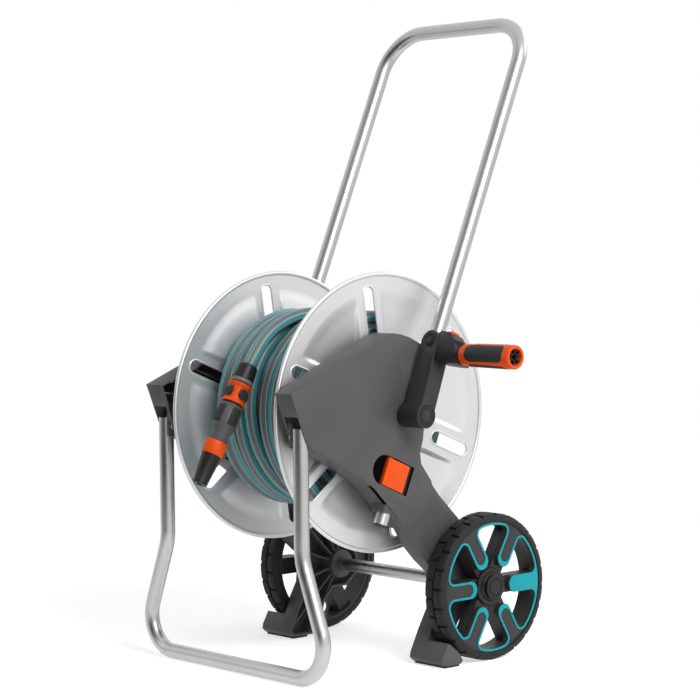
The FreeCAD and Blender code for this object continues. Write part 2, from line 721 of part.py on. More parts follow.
def crank_shaft():
    inside, hub_out = s.flange_hub_x - s.barrel_end - 4, s.flange_hub_x + s.flange_sheet
    disc_r, end = s.shaft_flange_dia / 2, s.crank_out_x - 8
    shaft = lathe(reel_spot, [
        (inside, 0), (inside, shaft_r), (hub_out, shaft_r), (hub_out, disc_r),
        (shaft_flange_out, disc_r), (shaft_flange_out, shaft_r + 3), (shoulder_x, shaft_r + 3),
        (shoulder_x, shaft_r), (end, shaft_r), (end, 0)])
    return cut(shaft, *drum_screw_holes(reel_spot))


def water_spindle():
    inside, hub_out = s.flange_hub_x - s.barrel_end - 4, s.flange_hub_x + s.flange_sheet
    disc_r, bore = s.shaft_flange_dia / 2, s.water_bore / 2
    spindle = lathe(left_spot, [
        (inside, bore), (inside, shaft_r), (hub_out, shaft_r), (hub_out, disc_r),
        (shaft_flange_out, disc_r), (shaft_flange_out, shaft_r + 3), (shoulder_x, shaft_r + 3),
        (shoulder_x, shaft_r), (spindle_end, shaft_r), (spindle_end, bore)])
    return cut(spindle, *drum_screw_holes(left_spot))


outlet_r = s.water_bore / 2 + 3
outlet_x = s.flange_hub_x - s.barrel_end - 4 - outlet_r - 2
outlet_spot = left_spot.at(outlet_x, 0, 0, yaw=90)


def drum_outlet():
    """The elbow inside the drum that leads the water from the spindle out to the hose."""
    bore = s.water_bore / 2
    joint = rod(left_spot.at(roll=25), shaft_r + 1, outlet_x - outlet_r - 2,
                s.flange_hub_x - s.barrel_end - 4)
    spout = rod(outlet_spot, outlet_r, 0, s.barrel_dia / 2 - 0.8)
    return cut(fuse(joint, spout), rod(outlet_spot, bore, 0, s.barrel_dia / 2),
               rod(left_spot, bore, outlet_x, s.flange_hub_x))


def reel_bush():
    return pipe(reel_spot, shaft_r + s.bush_wall, shaft_r + s.fit, s.frame_in_x + 1,
                s.frame_out_x)


# --- water inlet beside the left frame ---------------------------------------------------

elbow_in = s.frame_out_x + 1.2
spindle_end = elbow_in + 15
seal_in = elbow_in + 3
seal_wide = 3.6
elbow_wall = 5.0
inlet_tip = 38.0
inlet_angle = -105
inlet_spot = reel_spot.at(roll=inlet_angle).at(-(elbow_in + 11), 0, 0, yaw=90)


def spindle_seals():
    return pipe(left_spot, shaft_r + 1.9, shaft_r + s.fit, seal_in, seal_in + seal_wide)


def inlet_elbow():
    outer = rod(left_spot.at(roll=25), shaft_r + elbow_wall, elbow_in, spindle_end + 6)
    spout = rod(inlet_spot, shaft_r + 1.5, 0, inlet_tip)
    seal_way = rod(left_spot, shaft_r + 1.9 + s.slack, seal_in - 0.4, seal_in + seal_wide + 0.4)
    return cut(fuse(outer, spout), seal_way,
               rod(left_spot, shaft_r + s.fit, elbow_in - 1, spindle_end + 0.5),
               rod(inlet_spot, s.water_bore / 2, 0, inlet_tip),
               rod(inlet_spot, nipple_thread_r + s.fit, inlet_tip - 9, inlet_tip + 1))


nipple_thread_r = s.water_bore / 2 + 2


def inlet_nipple():
    """The plug half of a quick connector, where the supply hose clips on."""
    bore = s.water_bore / 2 - 1
    start, face = inlet_tip - 9, inlet_tip
    return lathe(inlet_spot, [
        (start, bore), (start, nipple_thread_r), (face, nipple_thread_r), (face, 11),
        (face + 4, 11), (face + 4, 8.5), (face + 9, 8.5), (face + 10.5, 7), (face + 13, 7),
        (face + 14.5, 8.5), (face + 20, 8.5), (face + 22, 7), (face + 24, 7), (face + 24, bore)])


# --- hose ---------------------------------------------------------------------------------

straight_end = 18.9
leave_turns = 0.2
lift_turns = 0.25
lifted_turns = 0.375
settle_turns = 1.0
skip_start = s.lane_turns.value + 0.62
skip_turns = 0.46
lay_turns = 2 * s.lay_half.value / s.hose_pitch.value - 1
last_turn = s.cross_turns.value + math.floor(lay_turns * 4) / 4
entry_radius = 50.0
entry_depth = 17.0


def ease(start, end, share):
    share = min(max(share, 0.0), 1.0)
    return start + (end - start) * share * share * (3 - 2 * share)


def strand_radius(turn):
    layer, cross = s.layer_radius.value, s.cross_radius.value
    if turn < lift_turns:
        return ease(s.end_radius.value, layer, turn / leave_turns)
    if turn < s.cross_turns.value:
        return ease(layer, cross, (turn - lift_turns) / (lifted_turns - lift_turns))
    back = settle_turns - s.cross_turns.value
    return ease(cross, layer, (turn - s.cross_turns.value) / back)


def strand_across(turn):
    """The end lies in its own lane, crosses behind the drum, then fills the layer."""
    pitch, cross_turns = s.hose_pitch.value, s.cross_turns.value
    lane = s.lay_half.value - pitch * (s.lane_turns.value + 1 - cross_turns)
    if turn < leave_turns:
        return lane - pitch * (turn ** 2 / (2 * leave_turns) + leave_turns / 2)
    if turn < lifted_turns:
        return lane - pitch * turn
    if turn < cross_turns:
        share = (turn - lifted_turns) / (cross_turns - lifted_turns)
        return ease(lane - pitch * lifted_turns, s.lay_half.value, share)
    skipped = ease(0, 1, (turn - skip_start) / skip_turns)
    return s.lay_half.value - pitch * (turn - cross_turns + skipped)


def strand(turn):
    """The hose's middle, in turns from where its free end leaves the drum."""
    radius = strand_radius(turn)
    angle = math.radians(s.end_angle.value + 360 * turn)
    return Vector(strand_across(turn), -radius * math.cos(angle), radius * math.sin(angle))


def heading(turn):
    step = 1e-5
    ahead = strand(turn + step) - strand(max(turn - step, 0.0))
    return ahead.normalize()


def arc_round(start, corner, end):
    """The arc that leaves start for the corner and reaches end from it."""
    back = (start - corner).normalize()
    ahead = (end - corner).normalize()
    half = back.getAngle(ahead) / 2
    reach = (start - corner).Length
    top = corner + (back + ahead).normalize() * (reach / math.cos(half) - reach * math.tan(half))
    return Part.Arc(start, top, end)


def biarc(start, start_way, end, end_way):
    """Two arcs that join smoothly and keep both directions."""
    across = end - start
    bend_part = 2 * (1 - start_way.dot(end_way))
    along = across.dot(start_way + end_way)
    reach = (math.sqrt(along ** 2 + bend_part * across.dot(across)) - along) / bend_part
    first, second = start + start_way * reach, end - end_way * reach
    joint = (first + second) * 0.5
    return [arc_round(start, first, joint), arc_round(joint, second, end)]


def drum_entry():
    """Where the hose turns inwards off the layer: its arc and the straight run after it."""
    start, way = strand(last_turn), heading(last_turn)
    inward = Vector(0, -start.y, -start.z).normalize()
    inward = (inward - way * inward.dot(way)).normalize()
    turn = math.radians(45)
    middle = start + inward * entry_radius
    reach = math.tan(turn / 2) * entry_radius
    corner = start + way * reach
    last_way = way * math.cos(turn) + inward * math.sin(turn)
    end = corner + last_way * reach
    return [arc_round(start, corner, end), Part.LineSegment(end, end + last_way * entry_depth)]


def winding_curves():
    places = [number / 8 for number in range(int(last_turn * 8))] + [last_turn]
    first, way = strand(0), heading(0)
    curves = [Part.LineSegment(first - way * straight_end, first)]
    for turn, following in zip(places, places[1:]):
        curves += biarc(strand(turn), heading(turn), strand(following), heading(following))
    return curves + drum_entry()


def round_tube(curves, radius):
    edges = [curve.toShape() for curve in curves]
    start = curves[0].StartPoint
    section = Part.Wire(Part.makeCircle(radius, start, edges[0].tangentAt(0)))
    shell = Part.BRepOffsetAPI.MakePipeShell(Part.Wire(edges))
    shell.add(section)
    shell.build()
    shell.makeSolid()
    return shell.shape()


def least_self_gap(curves):
    """The smallest clear distance between parts of the tube that aren't neighbours."""
    spacing = 6.0
    points, run = [], 0.0
    for curve in curves:
        edge = curve.toShape()
        count = max(int(edge.Length / spacing), 1)
        for number in range(count):
            length = edge.Length * number / count
            points.append((run + length, edge.valueAt(edge.getParameterByLength(length))))
        run += edge.Length
    near = min((point - other).Length for index, (place, point) in enumerate(points)
               for far, other in points[index + 1:]
               if far - place > 6 * s.hose_dia.value and abs(point.x - other.x) < 40
               and abs(point.y - other.y) < 40)
    return near - s.hose_dia.value


def hose_winding():
    curves = winding_curves()
    print(f"hose: {last_turn:.2f} turns, least gap to itself {least_self_gap(curves):.2f} mm")
    item = doc.addObject("Part::Feature", "HoseWinding")
    item.Shape = round_tube(curves, hose_r.value)
    return put(item, reel_spot)


def hose_core():
    """The inner layers of hose, with the place where the outer layer goes in."""
    entry = doc.addObject("Part::Feature", "HoseEntry")
    entry.Shape = round_tube(drum_entry(), hose_r.value + s.slack.value)
    put(entry, reel_spot)
    outer = s.layer_radius - hose_r - s.slack - 0.2
    return cut(pipe(reel_spot, outer, s.barrel_dia / 2 + s.slack, -s.core_half, s.core_half),
               entry)


# --- quick connector and nozzle, on the line of the hose's end -----------------------------

hose_stop = 8.0
ring_start = s.nut_length
barrel_start = ring_start + 5.5
collar_start = barrel_start + 2.2
collar_end = collar_start + 27.3
body_start = collar_end + 3
ring_r = 14.0
plug_r = 9.0


def hose_nut():
    grip = hose_r + s.slack + 0.1
    return lathe(nozzle_spot, [(0, grip), (0, 12), (3, 13.5), (ring_start, 15),
                               (ring_start, 10.3), (hose_stop, 10.3), (hose_stop, grip)])


def connector_body():
    bore = s.water_bore / 2
    socket = collar_end - 12
    return lathe(nozzle_spot, [
        (hose_stop, bore), (hose_stop, 10), (ring_start, 10), (ring_start, ring_r),
        (barrel_start, ring_r), (barrel_start, 11), (collar_end + 2, 11),
        (collar_end + 2, plug_r + s.slack), (socket, plug_r + s.slack), (socket, bore)])


def connector_collar():
    waist, flare, wide = 13.0, 16.5, ring_r + s.slack
    inner = 11 + s.slack
    recess = collar_start + s.collar_travel - 1.5
    return cut(lathe(nozzle_spot, [
        (collar_start, wide), (collar_start, flare), (collar_start + 1.5, flare),
        (collar_start + 6, waist), (collar_end - 6, waist), (collar_end - 1.5, flare),
        (collar_end, flare), (collar_end, inner), (recess, inner), (recess, wide)]),
               *[rod(spot, pad_r + 0.1, pad_seat - 0.1, 20) for spot in pad_spots()])


pad_r = 7.0
pad_seat = 12.2


def pad_spots():
    middle = (collar_start + collar_end) / 2
    return [nozzle_spot.at(roll=angle).at(middle, 0, 0, yaw=90) for angle in (0, 90, 180, 270)]


def connector_pads():
    return fuse(*[rod(spot, pad_r, pad_seat, 15) for spot in pad_spots()])


def nozzle_seal():
    return pipe(nozzle_spot, 13.4, 11.3, collar_end + 0.4, body_start)


def nozzle_body():
    bore = s.water_bore / 2
    neck = ring_place - s.slack
    return cut(lathe(nozzle_spot, [
        (collar_end - 12, bore), (collar_end - 12, plug_r), (body_start, plug_r),
        (body_start, 15.2), (body_start + 1.5, 16), (body_start + 26, 16),
        (body_start + 33, 14.6), (body_start + 41, 12), (neck, 12), (neck, plug_r),
        (ring_place + 24, plug_r), (ring_place + 24, bore)]), *soft_grip_pieces(0.1))


ring_place = body_start + 52
ring_end = ring_place + 19.5


def soft_grip_pieces(gap):
    start, end = body_start + 4, body_start + 28
    sleeve = pipe(nozzle_spot, 18, 15 - as_size(gap), start - gap, end + gap)
    return [common(sleeve, box(nozzle_spot.at(roll=angle), (start - gap, end + gap), (0, 18),
                               (-7 - gap, 7 + gap))) for angle in (0, 90, 180, 270)]


def nozzle_soft_grip():
    limit = rod(nozzle_spot, 16.6, body_start, body_start + 33)
    return common(fuse(*soft_grip_pieces(0)), limit)


def nozzle_ring():
    inner = plug_r + s.fit
    return lathe(nozzle_spot, [(ring_place, inner), (ring_place, 13.2), (ring_place + 1.7, 14.7),
                               (ring_end - 2, 14.7), (ring_end, 13.6), (ring_end, inner)])


def nozzle_tip():
    inner = plug_r + s.fit
    stop = ring_place + 25
    return lathe(nozzle_spot, [
        (ring_end, inner), (ring_end, 13.3), (ring_end + 20, 11.5), (ring_end + 41, 9.5),
        (ring_end + 41, 4), (stop, 4), (stop, inner)])


keep_pair("flange", flange())
keep("drum_barrel", drum_barrel())
keep("drum_screws", drum_screws())
keep("crank_shaft", crank_shaft())
keep("water_spindle", water_spindle())
keep("spindle_seal", spindle_seals())
keep("drum_outlet", drum_outlet())
keep_pair("reel_bush", reel_bush())
keep("inlet_elbow", inlet_elbow())
keep("inlet_nipple", inlet_nipple())
keep("hose_winding", hose_winding())
keep("hose_core", hose_core())
keep("hose_nut", hose_nut())
keep("connector_body", connector_body())
keep("connector_collar", connector_collar())
keep("connector_pads", connector_pads())
keep("nozzle_seal", nozzle_seal())
keep("nozzle_body", nozzle_body())
keep("nozzle_soft_grip", nozzle_soft_grip())
keep("nozzle_ring", nozzle_ring())
keep("nozzle_tip", nozzle_tip())


# --- crank --------------------------------------------------------------------------------

fold_out = fold_spot.at(pitch=-90)
cheek_r = (s.crank_out_x - s.crank_in_x) / 2
knuckle_r = cheek_r - 0.6
pin_r = s.fold_pin_dia / 2
tongue_half = s.fork_slot / 2 - s.slack
neck_start = cheek_r + 0.7
grip_x = (s.crank_in_x + s.crank_out_x) / 2
neck_end = s.grip_in_x - s.grip_gap - grip_x
grip_r = s.grip_dia / 2
cap_groove = 2.5


def crank_arm():
    boss = rod(reel_spot, s.boss_dia / 2, s.frame_out_x + s.boss_gap, s.crank_out_x)
    half = s.crank_width / 2
    arm = box(crank_spot, (s.crank_in_x, s.crank_out_x), (0, s.crank_reach), (-half, half))
    slot = box(fold_spot, (-cheek_r - 1, cheek_r + 1), (-cheek_r - 0.6, cheek_r + 1),
               (-s.fork_slot / 2, s.fork_slot / 2))
    cap = pipe(reel_spot, s.boss_dia / 2 - 2.4, 8, s.crank_out_x - cap_groove,
               s.crank_out_x + 1)
    return cut(fuse(boss, arm, rod(fold_out, cheek_r, -half, half)), slot, cap,
               rod(reel_spot, shaft_r + s.fit, s.frame_out_x, s.crank_out_x - 7.5),
               rod(fold_out, pin_r + s.fit, -half - 1, half + 1),
               rod(fold_out, 10, half - 1, half + 1))


def crank_hub_ring():
    return pipe(reel_spot, s.boss_dia / 2 - 2.6, 8.2, s.crank_out_x - cap_groove,
                s.crank_out_x - 0.4)


def fold_pin():
    half = s.crank_width / 2
    return lathe(fold_out, [(-half + 0.2, 0), (-half + 0.2, pin_r), (half - 1, pin_r),
                            (half - 1, 6.2), (half + 0.3, 6.2), (half + 0.3, 0)])


def fold_bracket():
    drop = -s.grip_drop
    # Y is up the arm and Z is to the inside here
    shoulder = -neck_start - s.neck_shoulder
    neck_outline = ((cheek_r - 0.15, -neck_start), (cheek_r - 2.75, shoulder),
                    (3, shoulder - s.neck_slope), (drop + grip_r - 0.1, -neck_end),
                    (drop - grip_r + 0.1, -neck_end), (drop - grip_r - 0.1, -neck_end + 12),
                    (drop - grip_r + 1.7, -neck_start - 5), (drop - 9, -neck_start))
    neck = slab(fold_out, neck_outline, -s.neck_width / 2, s.neck_width / 2)
    tongue = box(fold_spot, (0, neck_start + 1), (-knuckle_r, knuckle_r),
                 (-tongue_half, tongue_half))
    knuckle = rod(fold_out, knuckle_r, -tongue_half, tongue_half)
    seat = rod(fold_spot.at(0, drop, 0), grip_r - 0.4, neck_end - 7, neck_end)
    return cut(fuse(neck, tongue, knuckle, seat), fold_lock_room(),
               rod(fold_out, pin_r + s.fit, -s.fork_slot, s.fork_slot),
               rod(fold_spot.at(0, drop, 0), s.spindle_dia / 2 + s.fit,
                   neck_end - s.spindle_seat - 0.5, neck_end + 1))


lock_start = neck_start + 1.2
lock_length = 15.5


def fold_lock_room():
    return box(fold_spot, (lock_start - s.slack, lock_start + lock_length + s.slack), (9.4, 18),
               (-7 - s.slack, 7 + s.slack))


def fold_lock():
    return box(fold_spot, (lock_start, lock_start + lock_length), (11.2, 15.8), (-7, 7))


spindle_line = crank_spot.at(0, s.crank_reach - s.grip_drop, 0)
grip_floor = grip_out_x - s.grip_hole
insert_start = s.grip_in_x + s.insert_margin
insert_end = grip_out_x - s.insert_margin
insert_turn = 89
grip_screw_length = 17.0


def grip_spindle():
    radius, bore = s.spindle_dia / 2, s.screw_dia / 2 + s.fit
    end, start = grip_floor + s.slack, s.grip_in_x - s.grip_gap - s.spindle_seat
    return lathe(spindle_line, [(start, 0), (start, radius), (end, radius), (end, bore),
                                (end - grip_screw_length - 1, bore),
                                (end - grip_screw_length - 1, 0)])


def grip_screw():
    return turned_screw(spindle_line, grip_floor + s.slack, grip_screw_length, 1)


def grip_inserts(gap, top):
    sleeve = pipe(spindle_line, top, grip_r - 2.2 - as_size(gap), insert_start - gap,
                  insert_end + gap)
    reach = 30
    edge = math.radians(46.5 + 57.3 * gap / grip_r.value)
    corners = ((0, 0), (reach * math.cos(edge), -reach * math.sin(edge)), (reach * 1.3, 0),
               (reach * math.cos(edge), reach * math.sin(edge)))
    sectors = [slab(spindle_line.at(roll=insert_turn + angle), corners, insert_start - gap,
                    insert_end + gap) for angle in (0, 120, 240)]
    return common(sleeve, fuse(*sectors))


def crank_grip():
    outer_r = grip_r + s.grip_swell / 2
    bore = s.spindle_dia / 2 + s.fit
    body = lathe(spindle_line, [
        (s.grip_in_x, bore), (s.grip_in_x, grip_r - 1.2), (s.grip_in_x + 1.5, grip_r),
        (grip_out_x - 2, outer_r), (grip_out_x, outer_r - 1.6), (grip_out_x, 11),
        (grip_floor, 11), (grip_floor, bore)])
    return cut(body, grip_inserts(0.1, 20))


keep("crank_arm", crank_arm())
keep("crank_hub_ring", crank_hub_ring())
keep("fold_pin", fold_pin())
keep("fold_bracket", fold_bracket())
keep("fold_lock", fold_lock())
keep("grip_spindle", grip_spindle())
keep("grip_screw", grip_screw())
keep("crank_grip", crank_grip())
keep("grip_inserts", grip_inserts(0, grip_r + s.grip_swell / 2 + 0.4))


# --- wheels -------------------------------------------------------------------------------

rim_r = wheel_r - s.tyre_band
window_r = s.window_dia / 2
face_x = wheel_out_x - 1.5
tab_r = s.spoke_width / 2
tab_place = s.spoke_end + tab_r


def tyre():
    inner = rim_r + s.fit
    start, end = s.wheel_in_x, wheel_out_x
    middle = (start + end) / 2
    band = lathe(wheel_spot, [
        (start, inner), (start, wheel_r - 7), (start + 2.5, wheel_r - 1), (start + 5, wheel_r),
        (end - 5, wheel_r), (end - 2.5, wheel_r - 1), (end, wheel_r - 7), (end, inner)])
    low = wheel_r - s.tread_depth
    step = 180 / s.tread_count
    rows = [(start - 1, middle - 1, step / 2), (middle + 1, end + 1, step * 1.5)]
    grooves = [box(wheel_spot.at(roll=angle), (near, far), (low, wheel_r + 1), (-2.2, 2.2))
               for near, far, first in rows
               for angle in turned_copies(s.tread_count, first, lambda angle: angle)]
    channel = pipe(wheel_spot, wheel_r + 1, low, middle - 1.6, middle + 1.6)
    return cut(band, channel, *grooves)


def tabs(first, radius, place, start, end):
    """A round-ended bar along each spoke from the tab's place outwards."""
    spots = turned_copies(s.spoke_count, as_size(0), lambda angle: wheel_spot.at(roll=angle))
    return [piece for spot in spots[first:] for piece in
            (rod(spot.at(0, place, 0), radius, start, end),
             box(spot, (start, end), (place, window_r + 1), (-radius, radius)))]


def rim():
    bore = axle_r + s.fit
    hub_r = s.wheel_hub_dia / 2
    start, end = s.wheel_in_x, wheel_out_x
    hub = lathe(wheel_spot, [
        (start, bore), (start, hub_r - 3), (start + 4, hub_r), (end - 9, hub_r),
        (end - 9, hub_r + 2.5), (end - 4.5, hub_r + 2.5), (end - 4.5, hub_r - 5),
        (end - 1, hub_r - 5), (end - 1, bore)])
    ring = pipe(wheel_spot, rim_r, window_r, start + 1, face_x)
    webs = [box(wheel_spot.at(roll=angle), (start + 6, end - 9), (hub_r - 4, window_r + 1),
                (-tab_r, tab_r))
            for angle in turned_copies(s.spoke_count, as_size(0), lambda angle: angle)]
    return fuse(hub, ring, *webs, *tabs(0, tab_r, tab_place, end - 10, face_x))


def wheel_trim():
    """One line along the openings and round the spoke faces; the rearmost face is full."""
    end = face_x + s.trim_rise
    line = pipe(wheel_spot, window_r + s.trim_line, window_r, face_x, end)
    inner = tab_r - s.trim_line
    limit = rod(wheel_spot, window_r + s.trim_line, face_x, end)
    whole = common(fuse(line, *tabs(0, tab_r, tab_place, face_x, end)), limit)
    holes = tabs(1, inner, tab_place + s.trim_tip - s.trim_line, face_x - 1, end + 1)
    return cut(whole, *holes)


keep_pair("tyre", tyre())
keep_pair("rim", rim())
keep_pair("wheel_trim", wheel_trim())


# --- checks and files ---------------------------------------------------------------------

doc.recompute()
for item in doc.Objects:
    if {"Invalid", "Error"} & set(item.State):
        raise RuntimeError(f"{item.Label} could not be built: {item.State}")
for name, item in nodes.items():
    if item.Shape.isNull() or not item.Shape.isValid():
        raise RuntimeError(f"{name} has no sound shape")
for name, item in nodes.items():
    item.Shape.exportStep(os.path.join("parts", f"{name}.step"))
print(f"{len(nodes)} pieces written")
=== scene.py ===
import json
import math

import bmesh
import bpy
from mathutils import Matrix, Vector

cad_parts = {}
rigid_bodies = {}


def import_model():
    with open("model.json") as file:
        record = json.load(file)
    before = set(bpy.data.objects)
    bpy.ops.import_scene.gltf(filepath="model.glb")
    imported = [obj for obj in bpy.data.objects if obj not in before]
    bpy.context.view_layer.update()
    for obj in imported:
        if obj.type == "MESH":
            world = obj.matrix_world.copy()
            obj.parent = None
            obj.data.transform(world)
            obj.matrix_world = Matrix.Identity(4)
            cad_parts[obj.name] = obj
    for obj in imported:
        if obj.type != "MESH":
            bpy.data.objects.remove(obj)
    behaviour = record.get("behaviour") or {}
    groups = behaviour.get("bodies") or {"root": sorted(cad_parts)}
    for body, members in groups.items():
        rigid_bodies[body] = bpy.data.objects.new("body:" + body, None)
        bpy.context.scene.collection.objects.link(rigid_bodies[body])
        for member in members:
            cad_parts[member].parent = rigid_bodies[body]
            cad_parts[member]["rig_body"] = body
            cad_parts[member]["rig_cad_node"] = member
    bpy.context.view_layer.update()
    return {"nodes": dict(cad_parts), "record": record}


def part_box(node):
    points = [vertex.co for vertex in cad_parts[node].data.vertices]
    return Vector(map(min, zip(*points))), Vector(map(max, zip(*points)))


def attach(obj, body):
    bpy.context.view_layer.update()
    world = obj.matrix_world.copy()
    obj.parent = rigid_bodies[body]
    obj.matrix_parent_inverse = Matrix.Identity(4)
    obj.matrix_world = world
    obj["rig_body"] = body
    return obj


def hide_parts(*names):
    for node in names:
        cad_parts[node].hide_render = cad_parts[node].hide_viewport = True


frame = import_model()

mm = 0.001
nodes = frame["nodes"]
scene = bpy.context.scene


# Places. The reel's middle and the wheels come from the frame; each place's X is the axis
# that its round pieces turn on.
def midOf(node):
    low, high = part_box(node)
    return (low + high) / 2


def at(place, x=0, y=0, z=0, yaw=0, pitch=0, roll=0):
    moved = Matrix.Translation(Vector((x, y, z)) * mm)
    for degrees, axis in ((yaw, "Z"), (pitch, "Y"), (roll, "X")):
        moved = moved @ Matrix.Rotation(math.radians(degrees), 4, axis)
    return place @ moved


reelPlace = Matrix.Translation(midOf("drum_barrel"))
axlePlace = Matrix.Translation(midOf("wheel_axle"))
mirrorX = Matrix.Translation(reelPlace.translation) @ Matrix.Scale(-1, 4, (1, 0, 0)) @ \
    Matrix.Translation(-reelPlace.translation)
hoseEnd = {"x": -5.0, "radius": 150.5, "angle": 29.5, "past": 11.0}


def nozzleLine():
    angle = math.radians(hoseEnd["angle"])
    radius, past = hoseEnd["radius"], hoseEnd["past"]
    return at(reelPlace, hoseEnd["x"],
              -radius * math.cos(angle) - past * math.sin(angle),
              radius * math.sin(angle) - past * math.cos(angle),
              yaw=-90, pitch=90 - hoseEnd["angle"])


nozzlePlace = nozzleLine()
handleLean = {"back": 27.7, "roll": 66.6}
handlePlace = at(reelPlace, 0, handleLean["back"], 0, roll=handleLean["roll"])

# Camera: a long lens at the height of the crank, from the front on the crank's side.
cameraLook = {"place": (2.18365, -2.01804, 0.5705), "turn": 48.045, "down": 2.989,
              "roll": -0.626, "lens": 114.33}
lens = bpy.data.cameras.new("camera")
lens.lens = cameraLook["lens"]
camera = bpy.data.objects.new("camera", lens)
scene.collection.objects.link(camera)
camera.matrix_world = Matrix.Translation(cameraLook["place"]) @ \
    Matrix.Rotation(math.radians(cameraLook["turn"]), 4, "Z") @ \
    Matrix.Rotation(math.radians(90 - cameraLook["down"]), 4, "X") @ \
    Matrix.Rotation(math.radians(cameraLook["roll"]), 4, "Z")
scene.camera = camera


# Shader nodes written as sums.
class Wire:
    def __init__(self, finish, socket):
        self.finish = finish
        self.socket = socket

    def maths(self, operation, first, second):
        return self.finish.node("ShaderNodeMath", {"operation": operation}, (first, second))

    def __add__(self, other):
        return self.maths("ADD", self, other)

    def __radd__(self, other):
        return self.maths("ADD", other, self)

    def __sub__(self, other):
        return self.maths("SUBTRACT", self, other)

    def __rsub__(self, other):
        return self.maths("SUBTRACT", other, self)

    def __mul__(self, other):
        return self.maths("MULTIPLY", self, other)

    def __rmul__(self, other):
        return self.maths("MULTIPLY", other, self)

    def size(self):
        return self.maths("ABSOLUTE", self, 0.0)

    def __gt__(self, other):
        return self.maths("GREATER_THAN", self, other)

    def __lt__(self, other):
        return self.maths("LESS_THAN", self, other)


class Finish:
    output = "Material Output"

    def __init__(self, name, **values):
        self.material = bpy.data.materials.new(name)
        self.material.use_nodes = True
        self.tree = self.material.node_tree
        self.shader = self.tree.nodes["Principled BSDF"]
        for socket, value in values.items():
            self.give(socket.replace("_", " "), value)

    def node(self, kind, settings=None, inputs=(), out=0):
        made = self.tree.nodes.new(kind)
        for name, value in (settings or {}).items():
            if name == "stops":
                ramp = made.color_ramp
                while len(ramp.elements) < len(value):
                    ramp.elements.new(1.0)
                for stop, (place, shade) in zip(ramp.elements, value):
                    stop.position = place
                    stop.color = (*shade, 1) if len(shade) == 3 else shade
            else:
                setattr(made, name, value)
        pairs = inputs.items() if isinstance(inputs, dict) else enumerate(inputs)
        for key, value in pairs:
            if isinstance(value, Wire):
                self.tree.links.new(value.socket, made.inputs[key])
            else:
                made.inputs[key].default_value = value
        return Wire(self, made.outputs[out])

    def give(self, socket, value):
        if isinstance(value, Wire):
            self.tree.links.new(value.socket, self.shader.inputs[socket])
        elif hasattr(value, "__len__") and len(value) == 3:
            self.shader.inputs[socket].default_value = (*value, 1)
        else:
            self.shader.inputs[socket].default_value = value

    def objectPlace(self, scale=(1, 1, 1)):
        place = self.node("ShaderNodeTexCoord", out="Object")
        return self.node("ShaderNodeMapping", None, {"Vector": place, "Scale": scale})

    def noise(self, scale, detail=2.0, place=None, stretch=(1, 1, 1)):
        place = place or self.objectPlace(stretch)
        return self.node("ShaderNodeTexNoise", None,
                         {"Vector": place, "Scale": scale, "Detail": detail})

    def ramp(self, value, *stops):
        return self.node("ShaderNodeValToRGB", {"stops": stops}, (value,))

    def ranged(self, value, low, high, start=0.3, end=0.7):
        return self.node("ShaderNodeMapRange", None, (value, start, end, low, high))

    def mixed(self, share, first, second):
        first, second = [value if isinstance(value, Wire) else (*value, 1)
                         for value in (first, second)]
        return self.node("ShaderNodeMix", {"data_type": "RGBA"},
                         {0: share, 6: first, 7: second}, out=2)

    def axes(self, vector, count=3):
        return [self.node("ShaderNodeSeparateXYZ", None, (vector,), out=axis)
                for axis in range(count)]

    def plain(self):
        return Wire(self, self.shader.outputs[0])

    def blend(self, share, first, second):
        return self.node("ShaderNodeMixShader", None, {0: share, 1: first, 2: second})

    def show(self, whole):
        self.tree.links.new(whole.socket, self.tree.nodes[self.output].inputs["Surface"])

    def bump(self, height, strength, depth):
        self.give("Normal", self.node("ShaderNodeBump", None, {
            "Strength": strength, "Distance": depth, "Height": height}))


class Backdrop(Finish):
    output = "World Output"

    def __init__(self, name):
        self.world = bpy.data.worlds.new(name)
        self.world.use_nodes = True
        self.tree = self.world.node_tree


# Finishes, one for each material slot.
def moulded(name, colour, roughness=0.5, grain=700, depth=0.00005, wear=0.1):
    finish = Finish(name, Roughness=roughness, Specular_IOR_Level=0.32)
    cloud = finish.noise(14, 3)
    fine = finish.noise(grain, 2)
    pale = tuple(min(1, part * (1 + wear) + 0.004 * wear) for part in colour)
    deep = tuple(part * (1 - wear) for part in colour)
    finish.give("Base Color", finish.mixed(finish.ranged(cloud, 0, 1), deep, pale))
    finish.give("Roughness", finish.ranged(cloud, roughness - 0.05, roughness + 0.06) +
                (fine - 0.5) * 0.08)
    finish.bump(fine, 0.35, depth)
    return finish.material


def drawnSteel(name, colour, roughness, along=(1, 1, 1), metallic=1.0):
    finish = Finish(name, Metallic=metallic)
    streak = finish.noise(260, 4, stretch=along)
    cloud = finish.noise(9, 3)
    finish.give("Base Color", finish.mixed(finish.ranged(cloud, 0, 1),
                                           tuple(part * 0.93 for part in colour), colour))
    finish.give("Roughness", finish.ranged(streak, roughness - 0.04, roughness + 0.07) +
                (cloud - 0.5) * 0.08)
    finish.bump(streak, 0.12, 0.00003)
    return finish.material


def pressedSheet():
    finish = Finish("pressedSheet", Metallic=0.75, Specular_IOR_Level=0.5)
    cloud = finish.noise(5, 3)
    spangle = finish.noise(420, 3)
    finish.give("Base Color", finish.mixed(finish.ranged(cloud, 0, 1),
                                           (0.70, 0.703, 0.71), (0.78, 0.783, 0.79)))
    finish.give("Roughness", finish.ranged(spangle, 0.38, 0.48))
    finish.bump(spangle, 0.15, 0.00003)
    return finish.material


# the hose's grey and teal stripes; the light bands at each teal stripe's edges are a painted
# highlight line
hoseLook = {"grey": (0.150, 0.147, 0.147), "light": (0.42, 0.56, 0.57),
            "teal": (0.035, 0.33, 0.36), "dust": (0.3, 0.3, 0.3), "stripes": 4, "ribs": 36,
            "stops": ((0.0, "grey"), (0.40, "grey"), (0.42, "light"), (0.47, "light"),
                      (0.49, "teal"), (0.88, "teal"), (0.90, "light"), (0.95, "light"),
                      (0.97, "grey"))}


